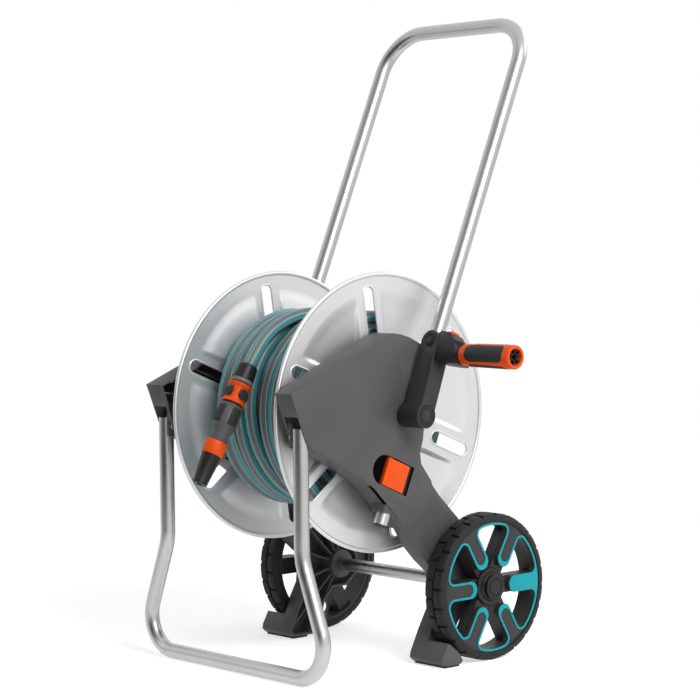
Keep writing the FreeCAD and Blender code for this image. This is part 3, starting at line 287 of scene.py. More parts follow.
def hoseSkin():
    # the map's X is metres along the hose, its Y is turns round it
    look = hoseLook
    finish = Finish("hoseSkin", Specular_IOR_Level=0.5)
    lay = finish.node("ShaderNodeUVMap", {"uv_map": "lay"})
    metres, turns = finish.axes(lay, 2)
    turn = finish.node("ShaderNodeMath", {"operation": "FRACT"}, (turns * look["stripes"],))
    # the stripe ramp paints a highlight line as light bands at the teal's edges
    stripe = finish.ramp(turn, *[(stop, look[shade]) for stop, shade in look["stops"]])
    along = finish.node("ShaderNodeCombineXYZ", None, (metres * 40, turns * 8, 0.0))
    dust = finish.noise(3.0, 3.0, along)
    finish.give("Base Color", finish.mixed(finish.ranged(dust, 0.0, 0.12), stripe,
                                           look["dust"]))
    finish.give("Roughness", finish.ranged(dust, 0.34, 0.46))
    ribs = finish.node("ShaderNodeMath", {"operation": "SINE"},
                       (turns * (2 * math.pi * look["ribs"]),))
    finish.bump(ribs + dust, 0.15, 0.0001)
    return finish.material


frameGrey = (0.084, 0.083, 0.083)
# the pocket round the release slider; the black in its recess and behind the slider is painted
# shade
pocket = {"along": -86.0, "up": -4.75, "front": 17.0, "reach": 40.0, "floor": 142.0,
          "face": 149.4, "black": (0.004, 0.004, 0.004),
          "wall": ((146.35, 146.75), (-23.5, 17), (-17.5, 12.8))}


def frameSkinWithPaintedShade():
    # the recess round the release slider is painted black inside, a painted shade for the deep
    # pocket
    finish = Finish("frameGrey", Specular_IOR_Level=0.45)
    cloud, fine = finish.noise(14, 3), finish.noise(620, 2)
    finish.give("Base Color", finish.mixed(finish.ranged(cloud, 0, 1),
                                           tuple(part * 0.9 for part in frameGrey),
                                           tuple(part * 1.1 for part in frameGrey)))
    finish.give("Roughness", finish.ranged(cloud, 0.47, 0.58) + (fine - 0.5) * 0.08)
    finish.bump(fine, 0.35, 0.00007)
    middle = at(handlePlace, 0, pocket["along"] + pocket["up"], pocket["front"]).translation
    x, y, z = finish.axes(finish.objectPlace())
    deep, y, z = (x - middle.x).size(), y - middle.y, z - middle.z
    inside = (deep < pocket["face"] * mm) * (deep > pocket["floor"] * mm)
    near = (y * y + z * z) < (pocket["reach"] * mm) ** 2
    # painted shade: a black diffuse mixed in over the recess round the slider
    black = finish.node("ShaderNodeBsdfDiffuse", None, {"Color": (*pocket["black"], 1)})
    finish.show(finish.blend(inside * near, finish.plain(), black))
    return finish.material


finishes = {
    "steel_tube": drawnSteel("satinTube", (0.54, 0.535, 0.53), 0.31, (1, 0.2, 0.05)),
    "shaft_steel": drawnSteel("turnedShaft", (0.62, 0.63, 0.64), 0.32),
    "zinc": drawnSteel("zincScrew", (0.70, 0.71, 0.70), 0.34),
    "brass": drawnSteel("brassNipple", (0.72, 0.52, 0.24), 0.3),
    "flange_metal": pressedSheet(),
    "frame_plastic": frameSkinWithPaintedShade(),
    "black_plastic": moulded("deepBlack", (0.012, 0.012, 0.013), 0.42),
    "grey_plastic": moulded("wheelGrey", (0.04, 0.039, 0.039), 0.5),
    "orange_plastic": moulded("signalOrange", (0.93, 0.092, 0.001), 0.45, 700, 0.00003, 0.05),
    "teal_plastic": moulded("poolTeal", (0.003, 0.39, 0.45), 0.45, 700, 0.00003, 0.05),
    "soft_black": moulded("softGrip", (0.028, 0.029, 0.031), 0.62, 1500, 0.00008),
    "hose": hoseSkin(),
    "tyre": moulded("treadRubber", (0.017, 0.017, 0.018), 0.68, 1100, 0.00009, 0.2),
}
print("finishes ready")


# Modelling helpers.
def letGo():
    if bpy.context.mode != "OBJECT":
        bpy.ops.object.mode_set(mode="OBJECT")
    bpy.ops.object.select_all(action="DESELECT")


def takeUp(item):
    letGo()
    item.select_set(True)
    bpy.context.view_layer.objects.active = item


def editing(item):
    takeUp(item)
    bpy.ops.object.mode_set(mode="EDIT")
    return bmesh.from_edit_mesh(item.data)


def placed(item):
    # its place, turn and scale go into its mesh
    takeUp(item)
    bpy.ops.object.transform_apply(location=True, rotation=True, scale=True)
    return item


def mended(item, merge=0.0):
    # near points are merged and the faces turned outward
    editing(item)
    bpy.ops.mesh.select_all(action="SELECT")
    if merge:
        bpy.ops.mesh.remove_doubles(threshold=merge)
    bpy.ops.mesh.normals_make_consistent(inside=False)
    letGo()
    return item


def flipped(item):
    editing(item)
    bpy.ops.mesh.select_all(action="SELECT")
    bpy.ops.mesh.flip_normals()
    letGo()
    return item


def settled(item, name):
    placed(item)
    item.name = item.data.name = name
    return item


def applied(item, kind, **settings):
    takeUp(item)
    modifier = item.modifiers.new(kind, kind)
    for name, value in settings.items():
        setattr(modifier, name, value)
    bpy.ops.object.modifier_apply(modifier=modifier.name)
    return item


def softEdges(item, width, angle=35):
    applied(item, "BEVEL", width=width, segments=2, limit_method="ANGLE",
            angle_limit=math.radians(angle), miter_outer="MITER_ARC")
    return smooth(item)


def smooth(item, angle=38):
    takeUp(item)
    bpy.ops.object.shade_smooth_by_angle(angle=math.radians(angle))
    return item


def joined(items, name):
    takeUp(items[0])
    for item in items:
        item.select_set(True)
    if len(items) > 1:
        bpy.ops.object.join()
    items[0].name = items[0].data.name = name
    return items[0]


def copyOf(item, name, matrix=None):
    if matrix is not None:
        placed(item)
    twin = item.copy()
    twin.data = item.data.copy()
    twin.name = twin.data.name = name
    scene.collection.objects.link(twin)
    if matrix is not None:
        twin.data.transform(matrix)
        if matrix.determinant() < 0:
            flipped(twin)
    return twin


def drawnCurve(name, kind, places, **settings):
    data = bpy.data.curves.new(name, "CURVE")
    data.dimensions = "3D"
    for setting, value in settings.items():
        setattr(data, setting, value)
    line = data.splines.new(kind)
    line.points.add(len(places) - 1)
    for point, place in zip(line.points, places):
        point.co = (*place, 1)
    item = bpy.data.objects.new(name, data)
    scene.collection.objects.link(item)
    return item


def asMesh(item):
    takeUp(item)
    bpy.ops.object.convert(target="MESH")
    return bpy.context.object


def turned(place, stations, sides=96, shut=True):
    # stations: (place along X, radius) in millimetres
    ringTurn = place @ Matrix.Rotation(math.radians(90), 4, "Y")
    along = (place.to_3x3() @ Vector((1, 0, 0))).normalized()
    start, radius = stations[0]
    letGo()
    bpy.ops.mesh.primitive_circle_add(vertices=sides, radius=radius * mm, fill_type="NOTHING",
                                      location=place @ Vector((start * mm, 0, 0)),
                                      rotation=ringTurn.to_euler())
    item = bpy.context.object
    bpy.ops.object.mode_set(mode="EDIT")
    bpy.ops.mesh.select_all(action="SELECT")
    for here, width in stations[1:]:
        step = along * (here - start) * mm
        bpy.ops.mesh.extrude_edges_move(TRANSFORM_OT_translate={"value": step})
        middle = place @ Vector((here * mm, 0, 0))
        share = width / radius
        bpy.ops.transform.resize(value=(share, share, share), center_override=middle)
        start, radius = here, width
    if shut:
        bpy.ops.mesh.edge_face_add()
        bpy.ops.mesh.select_all(action="DESELECT")
        bpy.ops.mesh.select_non_manifold()
        bpy.ops.mesh.edge_face_add()
    return mended(item)


def ringPiece(place, stations, sides=96):
    # a turned piece with a bore: the profile runs round and closes on itself
    item = turned(place, list(stations) + [stations[0]], sides, shut=False)
    return mended(item, 0.000005)


def block(place, x, y, z):
    low, high = Vector((x[0], y[0], z[0])) * mm, Vector((x[1], y[1], z[1])) * mm
    letGo()
    bpy.ops.mesh.primitive_cube_add(size=1, location=place @ ((low + high) / 2),
                                    rotation=place.to_euler())
    item = bpy.context.object
    item.scale = high - low
    return placed(item)


def arcPoints(middle, radius, first, last, steps):
    turns = [math.radians(first + (last - first) * step / steps) for step in range(steps + 1)]
    return [(middle[0] + radius * math.cos(turn), middle[1] + radius * math.sin(turn))
            for turn in turns]


def flatShape(place, loops, start, end):
    # loops of (y, z) points on the place, filled between and drawn out from start to end
    letGo()
    bpy.ops.mesh.primitive_circle_add(vertices=3, radius=mm)
    item = bpy.context.object
    work = editing(item)
    bmesh.ops.delete(work, geom=list(work.verts), context="VERTS")
    for loop in loops:
        ring = [work.verts.new(place @ Vector((start * mm, y * mm, z * mm))) for y, z in loop]
        for first, second in zip(ring, ring[1:] + ring[:1]):
            work.edges.new((first, second))
    bmesh.update_edit_mesh(item.data)
    bpy.ops.mesh.select_mode(type="EDGE")
    bpy.ops.mesh.select_all(action="SELECT")
    bpy.ops.mesh.fill(use_beauty=True)
    bpy.ops.mesh.select_all(action="SELECT")
    along = place.to_3x3() @ Vector(((end - start) * mm, 0, 0))
    bpy.ops.mesh.extrude_region_move(TRANSFORM_OT_translate={"value": along})
    return mended(item)


def carved(item, tools, operation="DIFFERENCE"):
    for tool in tools:
        applied(item, "BOOLEAN", object=tool, operation=operation, solver="EXACT")
        bpy.data.objects.remove(tool)
    return item


def castCopy(node, bevel):
    # a copy of a frame node's shape with its loose triangles merged and its edges softened
    item = copyOf(nodes[node], node + "_dressed")
    item.parent = None
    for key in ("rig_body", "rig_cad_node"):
        if key in item:
            del item[key]
    item.data.materials.clear()
    editing(item)
    bpy.ops.mesh.select_all(action="SELECT")
    bpy.ops.mesh.remove_doubles(threshold=0.000004)
    bpy.ops.mesh.dissolve_limited(angle_limit=math.radians(0.6))
    letGo()
    return softEdges(item, bevel * mm, 40)


def dress(item, name, slot, body, *stoodFor, finish=None):
    settled(item, name)
    item.data.materials.clear()
    item.data.materials.append(finish or finishes[slot])
    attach(item, body)
    if stoodFor:
        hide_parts(*stoodFor)
    return item


def dressPair(item, node, slot, body=None, stands=True, ending="_made"):
    # the right piece and its mirrored twin on the left; with no body named, the wheels'
    twin = copyOf(item, f"left_{node}{ending}", mirrorX)
    for hand, made in (("left", twin), ("right", item)):
        stoodFor = [f"{hand}_{node}"] if stands else []
        dress(made, f"{hand}_{node}{ending}", slot, body or f"{hand}_wheel", *stoodFor)


# Every frame node starts with its slot's finish; the pieces below stand for many of them.
slotOf = {part["node"]: part["material_slot"] for part in frame["record"]["subparts"]}
for node, item in nodes.items():
    item.data.materials.clear()
    item.data.materials.append(finishes[slotOf[node]])
    smooth(item, 32)
print("frame nodes finished")


# The hose, one long cord from where it comes off the inner layers to the nozzle.
hose = {"diameter": 17.0, "layerRadius": 125.5, "pitch": 17.6, "layHalf": 87.75,
        "crossRadius": 143.2, "leave": 0.2, "lift": 0.25, "lifted": 0.375, "cross": 0.83,
        "settled": 1.0, "lane": 5, "skip": 5.62, "skipTurns": 0.46, "turns": 9.58,
        "pointsPerTurn": 24, "hair": 0.001, "tail": 18.9, "entryBend": 20.7,
        "entryRun": 17.0, "sides": 20, "drift": 2.1, "wander": 0.9}
innerHose = {"radii": (110.3, 95.1, 79.9), "turns": 9.75, "edge": 85.8, "slack": 0.6,
             "pointsPerTurn": 20, "sides": 12, "drift": 1.7}
drum = {"half": 92.0, "bore": 9.4, "radius": 71.0}


def ease(start, end, share):
    share = min(max(share, 0.0), 1.0)
    return start + (end - start) * share * share * (3 - 2 * share)


def strandRadius(turn):
    layer, over = hose["layerRadius"], hose["crossRadius"]
    if turn < hose["lift"]:
        return ease(hoseEnd["radius"], layer, turn / hose["leave"])
    if turn < hose["cross"]:
        return ease(layer, over, (turn - hose["lift"]) / (hose["lifted"] - hose["lift"]))
    return ease(over, layer, (turn - hose["cross"]) / (hose["settled"] - hose["cross"]))


def strandAcross(turn):
    # the end lies in its own lane, crosses behind the drum, then fills the layer
    pitch, edge = hose["pitch"], hose["layHalf"]
    lane = edge - pitch * (hose["lane"] + 1 - hose["cross"])
    if turn < hose["leave"]:
        return lane - pitch * (turn ** 2 / (2 * hose["leave"]) + hose["leave"] / 2)
    if turn < hose["lifted"]:
        return lane - pitch * turn
    if turn < hose["cross"]:
        share = (turn - hose["lifted"]) / (hose["cross"] - hose["lifted"])
        return ease(lane - pitch * hose["lifted"], edge, share)
    skipped = ease(0, 1, (turn - hose["skip"]) / hose["skipTurns"])
    return edge - pitch * (turn - hose["cross"] + skipped)


def onReel(x, radius, angle):
    return reelPlace @ (Vector((x, -radius * math.cos(angle), radius * math.sin(angle))) * mm)


def strand(turn, grow=1.0):
    angle = math.radians(hoseEnd["angle"] + 360 * turn)
    return onReel(strandAcross(turn), strandRadius(turn) * grow, angle)


def hosePoints():
    # a quadratic spline runs a little inside its points, so they stand a little outside
    perTurn, hair = hose["pointsPerTurn"], hose["hair"]
    grow = 1 / (0.75 + 0.25 * math.cos(2 * math.pi / perTurn))
    count = int(hose["turns"] * perTurn)
    points = [strand(number / perTurn, grow) for number in range(count + 1)]
    first, way = strand(0), (strand(0) - strand(hair)).normalized()
    tail = [first + way * (hose["tail"] * mm * share) for share in (1.0, 0.55)]
    # the last turn bends in towards the axle and ends between the inner layers
    last = strand(hose["turns"])
    ahead = (last - strand(hose["turns"] - hair)).normalized()
    inward = reelPlace.translation - last
    inward.x = 0
    inward = (inward - ahead * inward.dot(ahead)).normalized()
    slant, bend = (ahead + inward).normalized(), hose["entryBend"] * mm
    corner = last + ahead * bend
    entry = [corner, corner + slant * bend, corner + slant * (bend + hose["entryRun"] * mm)]
    return list(reversed(tail + points[1:] + entry))


def splineThrough(name, points, fineness):
    item = drawnCurve(name, "NURBS", points)
    line = item.data.splines[0]
    line.order_u = 3
    line.use_endpoint_u = True
    line.resolution_u = fineness
    return item


def lineOf(route):
    bpy.context.view_layer.update()
    mesh = bpy.data.meshes.new_from_object(route)
    points = [vertex.co.copy() for vertex in mesh.vertices]
    bpy.data.meshes.remove(mesh)
    return points


def tubeAlong(name, path, radius, sides, outward):
    # a skin round the path, its seam turned towards the outward point's side, with the lay
    # of the hose kept as a map: metres along, then turns round
    rings, runs, run = [], [], 0.0
    for index, point in enumerate(path):
        before, after = path[max(index - 1, 0)], path[min(index + 1, len(path) - 1)]
        way = (after - before).normalized()
        up = outward(point)
        up = (up - way * up.dot(way)).normalized()
        side = way.cross(up)
        if index:
            run += (point - path[index - 1]).length
        runs.append(run)
        rings.append([point + (up * math.cos(turn) + side * math.sin(turn)) * radius
                      for turn in (2 * math.pi * step / sides for step in range(sides))])
    mesh = bpy.data.meshes.new(name)
    places = [place for ring in rings for place in ring]
    faces, lay = [], []
    for row in range(len(rings) - 1):
        for step in range(sides):
            following = (step + 1) % sides
            faces.append((row * sides + step, row * sides + following,
                          (row + 1) * sides + following, (row + 1) * sides + step))
            lay += [(runs[row], step / sides), (runs[row], (step + 1) / sides),
                    (runs[row + 1], (step + 1) / sides), (runs[row + 1], step / sides)]
    last = (len(rings) - 1) * sides
    faces.append(tuple(reversed(range(sides))))
    faces.append(tuple(last + step for step in range(sides)))
    lay += [(0.0, 0.0)] * sides + [(run, 0.0)] * sides
    mesh.from_pydata(places, [], faces)
    layer = mesh.uv_layers.new(name="lay")
    for corner, value in zip(layer.data, lay):
        corner.uv = value
    item = bpy.data.objects.new(name, mesh)
    scene.collection.objects.link(item)
    return smooth(mended(item), 60)


def twisted(rate):
    # the stripes wander slowly round the hose as it is wound
    def outward(point):
        out = point - reelPlace.translation
        drift = rate * out.x / mm / hose["pitch"]
        out.x = 0
        return out.normalized() + Vector((math.sin(drift), 0, 0)) * hose["wander"]
    return outward


hoseRoute = splineThrough("hoseRoute", hosePoints(), 4)
hoseLine = lineOf(hoseRoute)
bpy.data.objects.remove(hoseRoute)
hoseTube = tubeAlong("hose_winding_tube", hoseLine, hose["diameter"] / 2 * mm, hose["sides"],
                     twisted(hose["drift"]))
dress(hoseTube, "hose_winding_tube", "hose", "reel", "hose_winding")


def innerLayers():
    # three more layers under the outer one, each lying in the grooves of the next
    look, layers = innerHose, []
    for number, radius in enumerate(look["radii"]):
        points = []
        for step in range(int(look["turns"] * look["pointsPerTurn"]) + 1):
            turn = step / look["pointsPerTurn"]
            x = look["edge"] - hose["pitch"] * turn
            points.append(onReel(-x if number % 2 else x, radius,
                                 2 * math.pi * turn + number))
        layers.append(tubeAlong(f"layer{number}", points,
                                (hose["diameter"] / 2 - look["slack"]) * mm, look["sides"],
                                twisted(look["drift"])))
    half, bore, radius = drum["half"], drum["bore"], drum["radius"]
    core = turned(reelPlace, [(-half, bore), (-half, radius), (half, radius), (half, bore)],
                  48)
    core.data.uv_layers.new(name="lay")
    return joined(layers + [core], "inner_layers")


dress(innerLayers(), "inner_layers", "hose", "reel", "hose_core")
print("hose wound")


# Reel flanges: pressed sheet with a rolled rim, dished panels and slotted spokes.
flange = {"ringX": 103.5, "sheet": 1.2, "outer": 182.5, "rimRoll": 3.0, "dishEdge": 160.0,
          "hub": 70.0, "hubSlope": 4.0, "depth": 9.5, "crease": 0.18, "steepness": 4.5,
          "hole": 9.3, "spokes": 6, "firstSlot": 38.0, "spokeHalf": 19.5, "spokeSlope": 8.0,
          "slotHalf": 8.5, "slotStart": 98.0, "slotEnd": 168.0, "lip": 1.5, "lipOut": 0.9,
          "cut": (95, 110)}
# lines of the sheet's net: beside a spoke's middle, across a panel, and round the axle;
# within the least reach the lines beside a spoke keep their angle
besideSpoke = (0, 4.2, 8.5, 12.5, 15.5, 17.5, 18.5, 19.6, 20.8, 22, 23.2, 24.4, 25.5, 26.6,
               29)
acrossPanel = 14
netRings = (flange["hole"], 24, 46, 62, 66, 68, 69, 70, 71, 72, 73.2, 74.5, 77, 82, 90, 98,
            106, 114, 122, 130, 137, 143, 147, 149.5, 151.5, 153.2, 154.8, 156.4, 158,
            159.2, 160, 161.2, 164, 170, 178, flange["outer"] - 0.4)
leastReach = 74.5


def stadium(inner, outer, half, steps=12):
    # a slot's outline in (y, z) with y running out from the axle
    return arcPoints((outer - half, 0), half, -90, 90, steps) + \
        arcPoints((inner + half, 0), half, 90, 270, steps)


def sheetLevel(radius, across):
    look = flange
    panel = min(max((look["dishEdge"] - radius) / (look["dishEdge"] - look["hub"]), 0), 1)
    crease = ease(0, 1, min(panel * look["steepness"], 1))
    depth = look["depth"] * (panel * (1 - look["crease"]) + crease * look["crease"])
    onPanel = ease(0, 1, (abs(across) - look["spokeHalf"] + 1) / look["spokeSlope"])
    nearHub = ease(1, 0, (radius - look["hub"] + 1) / look["hubSlope"])
    return look["ringX"] - depth * max(onPanel, nearHub)


def flangeSheet():
    # a net of points: each is a ring's radius and either a line beside a spoke or a share
    # of the way over the panel to the next one
    look, sector = flange, 360 / flange["spokes"]
    around = []
    for spoke in range(look["spokes"]):
        around += [(spoke, -line, 0) for line in reversed(besideSpoke)]
        around += [(spoke, line, 0) for line in besideSpoke[1:]]
        around += [(spoke, None, step / (acrossPanel + 1)) for step in range(1, acrossPanel + 1)]
    around.append((look["spokes"], -besideSpoke[-1], 0))
    columns = len(around)
    bpy.ops.mesh.primitive_grid_add(x_subdivisions=columns - 1,
                                    y_subdivisions=len(netRings) - 1, size=1)
    item = bpy.context.object
    for index, vertex in enumerate(item.data.vertices):
        radius, (spoke, line, share) = netRings[index // columns], around[index % columns]
        reach = max(radius, leastReach)
        if line is None:
            edge = math.degrees(math.asin(besideSpoke[-1] / reach))
            angle = edge + (sector - 2 * edge) * share
        else:
            angle = math.degrees(math.asin(line / reach))
        turn = math.radians(spoke * sector + angle + look["firstSlot"])
        level = sheetLevel(radius, math.inf if line is None else line)
        vertex.co = Vector((level, radius * math.cos(turn), radius * math.sin(turn))) * mm
    mended(item, 0.00001)
    if sum(face.normal.x for face in item.data.polygons) < 0:
        flipped(item)
    return applied(item, "SOLIDIFY", thickness=look["sheet"] * mm, offset=1.0)


def pressedFlange():
    look = flange
    middle = look["ringX"] + look["sheet"] / 2
    start, end, half, out = look["slotStart"], look["slotEnd"], look["slotHalf"], look["lipOut"]
    plate = flangeSheet()
    cutters, lips = [], []
    for number in range(look["spokes"]):
        turn = at(Matrix.Identity(4), roll=look["firstSlot"] + 360 / look["spokes"] * number)
        cutters.append(flatShape(turn, [stadium(start, end, half)], *look["cut"]))
        places = [turn @ (Vector((middle, y, z)) * mm)
                  for y, z in stadium(start - out, end + out, half + out)]
        lip = drawnCurve("lip", "POLY", places, bevel_depth=look["lip"] * mm,
                         bevel_resolution=3)
        lip.data.splines[0].use_cyclic_u = True
        lips.append(asMesh(lip))
    carved(plate, [joined(cutters, "cutters")])
    letGo()
    bpy.ops.mesh.primitive_torus_add(major_radius=look["outer"] * mm,
                                     minor_radius=look["rimRoll"] * mm, major_segments=240,
                                     minor_segments=14, rotation=(0, math.radians(90), 0),
                                     location=(middle * mm, 0, 0))
    rim = placed(bpy.context.object)
    return smooth(joined([plate, rim] + lips, "flange"), 40)


rightFlange = pressedFlange()
rightFlange.data.transform(Matrix.Translation(reelPlace.translation))
dressPair(rightFlange, "flange", "flange_metal", "reel", ending="_pressed")
print("flanges pressed")


# The stand's and the handle's bent tubes.
tubes = {"radius": 10.0, "legTop": 138.6, "legFoot": 198.3, "legFront": 171.3, "kink": 160.8,
         "kinkBend": 70.0, "footBend": 45.0, "top": 327.0, "handle": 136.1, "reach": 569.5,
         "tail": 156.0, "bend": 60.0, "steps": 20}


def bentLine(corners, radii):
    # straight runs with round bends at the inner corners
    line = [corners[0]]
    for before, corner, after, radius in zip(corners, corners[1:], corners[2:], radii):
        back, ahead = (before - corner).normalized(), (after - corner).normalized()
        half = back.angle(ahead) / 2
        reach = radius / math.tan(half)
        middle = corner + (back + ahead).normalized() * (radius / math.sin(half))
        first, last = corner + back * reach - middle, corner + ahead * reach - middle
        turn = first.angle(last)
        for step in range(tubes["steps"] + 1):
            share = step / tubes["steps"]
            line.append(middle + (first * math.sin((1 - share) * turn) +
                                  last * math.sin(share * turn)) / math.sin(turn))
    return line + [corners[-1]]


def bentTube(name, place, corners, radii):
    places = [place @ (spot * mm)
              for spot in bentLine([Vector(corner) for corner in corners], radii)]
    item = drawnCurve(name, "POLY", places, bevel_depth=tubes["radius"] * mm,
                      bevel_resolution=10, use_fill_caps=True)
    return smooth(mended(asMesh(item), 0.00001), 40)


side, foot, top = tubes["legTop"], tubes["legFoot"], tubes["top"]
legPlace = Matrix.Translation((reelPlace.translation.x,
                               reelPlace.translation.y - tubes["legFront"] * mm, 0))
legCorners = [(-side, 0, top), (-side, 0, tubes["kink"]), (-foot, 0, tubes["radius"]),
              (foot, 0, tubes["radius"]), (side, 0, tubes["kink"]), (side, 0, top)]
legLoop = bentTube("front_leg_loop_made", legPlace, legCorners,
                   [tubes["kinkBend"], tubes["footBend"], tubes["footBend"], tubes["kinkBend"]])
dress(legLoop, "front_leg_loop_made", "steel_tube", "cart", "front_leg_loop")
wide, reach, tail = tubes["handle"], tubes["reach"], tubes["tail"]
handleLoop = bentTube("push_handle_made", handlePlace,
                      [(-wide, -tail, 0), (-wide, reach, 0), (wide, reach, 0),
                       (wide, -tail, 0)], [tubes["bend"]] * 2)
dress(handleLoop, "push_handle_made", "steel_tube", "handle", "push_handle")
print("tubes bent")


# Softened copies of the frame's own pieces: node, slot, body and width of the bevel.
castPieces = (
    ("right_side_frame", "frame_plastic", "cart", 1.0),
    ("left_side_frame", "frame_plastic", "cart", 1.0),
    ("right_release_slider", "orange_plastic", "right_slider", 0.9),
    ("left_release_slider", "orange_plastic", "left_slider", 0.9),
    ("right_foot_pad", "soft_black", "cart", 0.6),
    ("left_foot_pad", "soft_black", "cart", 0.6),
    ("right_handle_plug", "black_plastic", "handle", 0.4),
    ("left_handle_plug", "black_plastic", "handle", 0.4),
    ("crank_hub_ring", "black_plastic", "reel", 0.4),
    ("fold_pin", "black_plastic", "reel", 0.5),
    ("fold_bracket", "black_plastic", "crank_fold", 1.0),
    ("fold_lock", "orange_plastic", "fold_lock", 0.7),
    ("connector_collar", "orange_plastic", "connector_collar", 0.4),
    ("connector_pads", "soft_black", "connector_collar", 0.6),
    ("nozzle_soft_grip", "soft_black", "reel", 0.5),
    ("nozzle_ring", "orange_plastic", "nozzle_twist", 0.3),
    ("inlet_elbow", "black_plastic", "inlet", 0.5),
    ("inlet_nipple", "grey_plastic", "inlet", 0.3),
    ("crank_arm", "black_plastic", "reel", 1.3),
    ("connector_body", "grey_plastic", "reel", 0.3),
    ("nozzle_body", "grey_plastic", "reel", 0.4),
)
ownFinish = {"crank_arm": moulded("crankBlack", (0.03, 0.03, 0.031), 0.48),
             "connector_body": moulded("ringGrey", (0.2, 0.2, 0.205), 0.5),
             "nozzle_body": moulded("nozzleGrey", (0.105, 0.105, 0.11), 0.45)}
for node, slot, body, bevel in castPieces:
    dress(castCopy(node, bevel), node + "_soft", slot, body, node, finish=ownFinish.get(node))


def pocketShadeSheet():
    # a thin black sheet behind the release slider, between it and the handle's tube: painted
    # shade for the deep gap
    return block(at(handlePlace, 0, pocket["along"], 0), *pocket["wall"])


dressPair(pocketShadeSheet(), "pocket_shade_sheet", "black_plastic", "cart", stands=False, ending="")
print("cast pieces softened")


# Wheels.
wheel = {"inner": 152.5, "outer": 186.0, "rim": 87.7, "window": 83.0, "face": 184.5,
         "corner": 8.0, "spoke": 11.5, "tabEnd": 42.0, "line": 3.0, "tip": 7.0, "rise": 0.8,
         "hub": 23.0, "bore": 9.1, "spokes": 6, "web": (19, 84)}
# profiles from the wheel's outer end and from the cap's outer face
discProfile = ((-10, 18), (-9, 25.2), (-6.2, 25.5), (-5, 24.7), (-4.6, 22.6), (-4.4, 19.6),
               (-2.2, 18.6), (-1.1, 17.4), (-1.0, 12), (-1.0, wheel["bore"]),
               (-9, wheel["bore"]))
capFace = ((-0.1, 12.2), (-1.1, 11.6), (-1.1, 10.9), (0, 10.3), (0, 2))


def openingLoop(grow, tipShift, bridged=()):
    # round the wheel's openings: outer arcs, rounded corners and the tabs' round ends
    look, sector = wheel, 360 / wheel["spokes"]
    outer, half, corner = look["window"] + grow, look["spoke"] - grow, look["corner"] + grow
    aside = look["spoke"] + look["corner"]
    out = math.sqrt((look["window"] - look["corner"]) ** 2 - aside ** 2)
    turn = math.degrees(math.atan2(aside, out))
    tab = look["tabEnd"] + tipShift
    loop = []
    for number in range(look["spokes"]):
        if number in bridged:
            points = arcPoints((0, 0), outer, -turn, turn, 10)
        else:
            points = arcPoints((out, -aside), corner, -turn, 90, 8)
            points += arcPoints((tab, 0), half, -90, -270, 20)
            points += arcPoints((out, aside), corner, -90, turn, 8)
        points += arcPoints((0, 0), outer, turn, sector - turn, 14)[1:-1]
        angle = math.radians(sector * number)
        loop += [(y * math.cos(angle) - z * math.sin(angle),
                  y * math.sin(angle) + z * math.cos(angle)) for y, z in points]
    return loop


def wheelRim():
    look = wheel
    start, end = look["inner"], look["outer"]
    front = flatShape(axlePlace, [arcPoints((0, 0), look["rim"], 0, 360, 120)[1:],
                                  openingLoop(0, 0)], end - 10, look["face"])
    softEdges(front, 0.7 * mm, 30)
    ring = ringPiece(axlePlace, [(start + 1, look["rim"]), (end - 9.5, look["rim"]),
                                 (end - 9.5, look["window"]), (start + 1, look["window"])], 120)
    webs = [block(at(axlePlace, roll=360 / look["spokes"] * number), (start + 6, end - 9),
                  look["web"], (-look["spoke"], look["spoke"]))
            for number in range(look["spokes"])]
    hub = ringPiece(axlePlace, [(start, look["bore"]), (start, 20), (start + 4, look["hub"]),
                                (end - 8, look["hub"]), (end - 8, look["bore"])], 64)
    return smooth(joined([front, ring, hub] + webs, "rim"), 35)


def hubDisc():
    return smooth(ringPiece(axlePlace, [(wheel["outer"] + x, radius)
                                        for x, radius in discProfile], 72), 30)


def wheelLines():
    look = wheel
    lines = flatShape(axlePlace, [openingLoop(look["line"], look["tip"] - look["line"], (0,)),
                                  openingLoop(0.15, 0.0)], look["face"] - 0.6,
                      look["face"] + look["rise"])
    return softEdges(lines, 0.25 * mm, 30)


wheelPieces = {"rim": (wheelRim(), "grey_plastic"), "hub_disc": (hubDisc(), "black_plastic"),
               "wheel_trim": (wheelLines(), "teal_plastic"),
               "tyre": (castCopy("right_tyre", 0.6), "tyre")}
for piece, (item, slot) in wheelPieces.items():
    dressPair(item, piece, slot, stands=piece != "hub_disc")


def hubCap():
    low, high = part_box("right_hub_cap")
    face = (high.x - axlePlace.translation.x) / mm
    radius = (high.z - low.z) / 2 / mm
    skirt = ((-15, 7.4), (-3.4, 7.4), (-3.4, radius), (-1.6, radius), (-0.5, radius - 0.9),
             (-0.1, radius - 2.6))
    return smooth(turned(axlePlace, [(face + x, reach) for x, reach in skirt + capFace], 72),
                  32)


dressPair(hubCap(), "hub_cap", "black_plastic", "cart")
print("wheels made")


# The crank's grip with its three soft inserts and its ribbed end.
grip = {"inner": 231.7, "length": 89.8, "radius": 14.3, "swell": 1.2, "margin": 11.5,
        "hole": 11.0, "depth": 18.5, "half": 10.9, "turn": 89.0, "bore": 5.1,
        "stand": 0.45, "inserts": 3, "corner": 7.0, "gap": 0.5, "ribs": 6, "ribRoll": 15.0,
        "crankRoll": 70.0, "crankReach": 84.0}
gripPlace = at(at(reelPlace, roll=grip["crankRoll"]), 0, grip["crankReach"], 0)


def gripRadius(x):
    share = (x - grip["inner"]) / grip["length"]
    return grip["radius"] + grip["swell"] * share


def roundedBar(half, start, end, corner, steps=8):
    points = []
    for x, y, first in ((end - corner, half - corner, 0), (start + corner, half - corner, 90),
                        (start + corner, corner - half, 180), (end - corner, corner - half, 270)):
        points += arcPoints((x, y), corner, first, first + 90, steps)
    return points


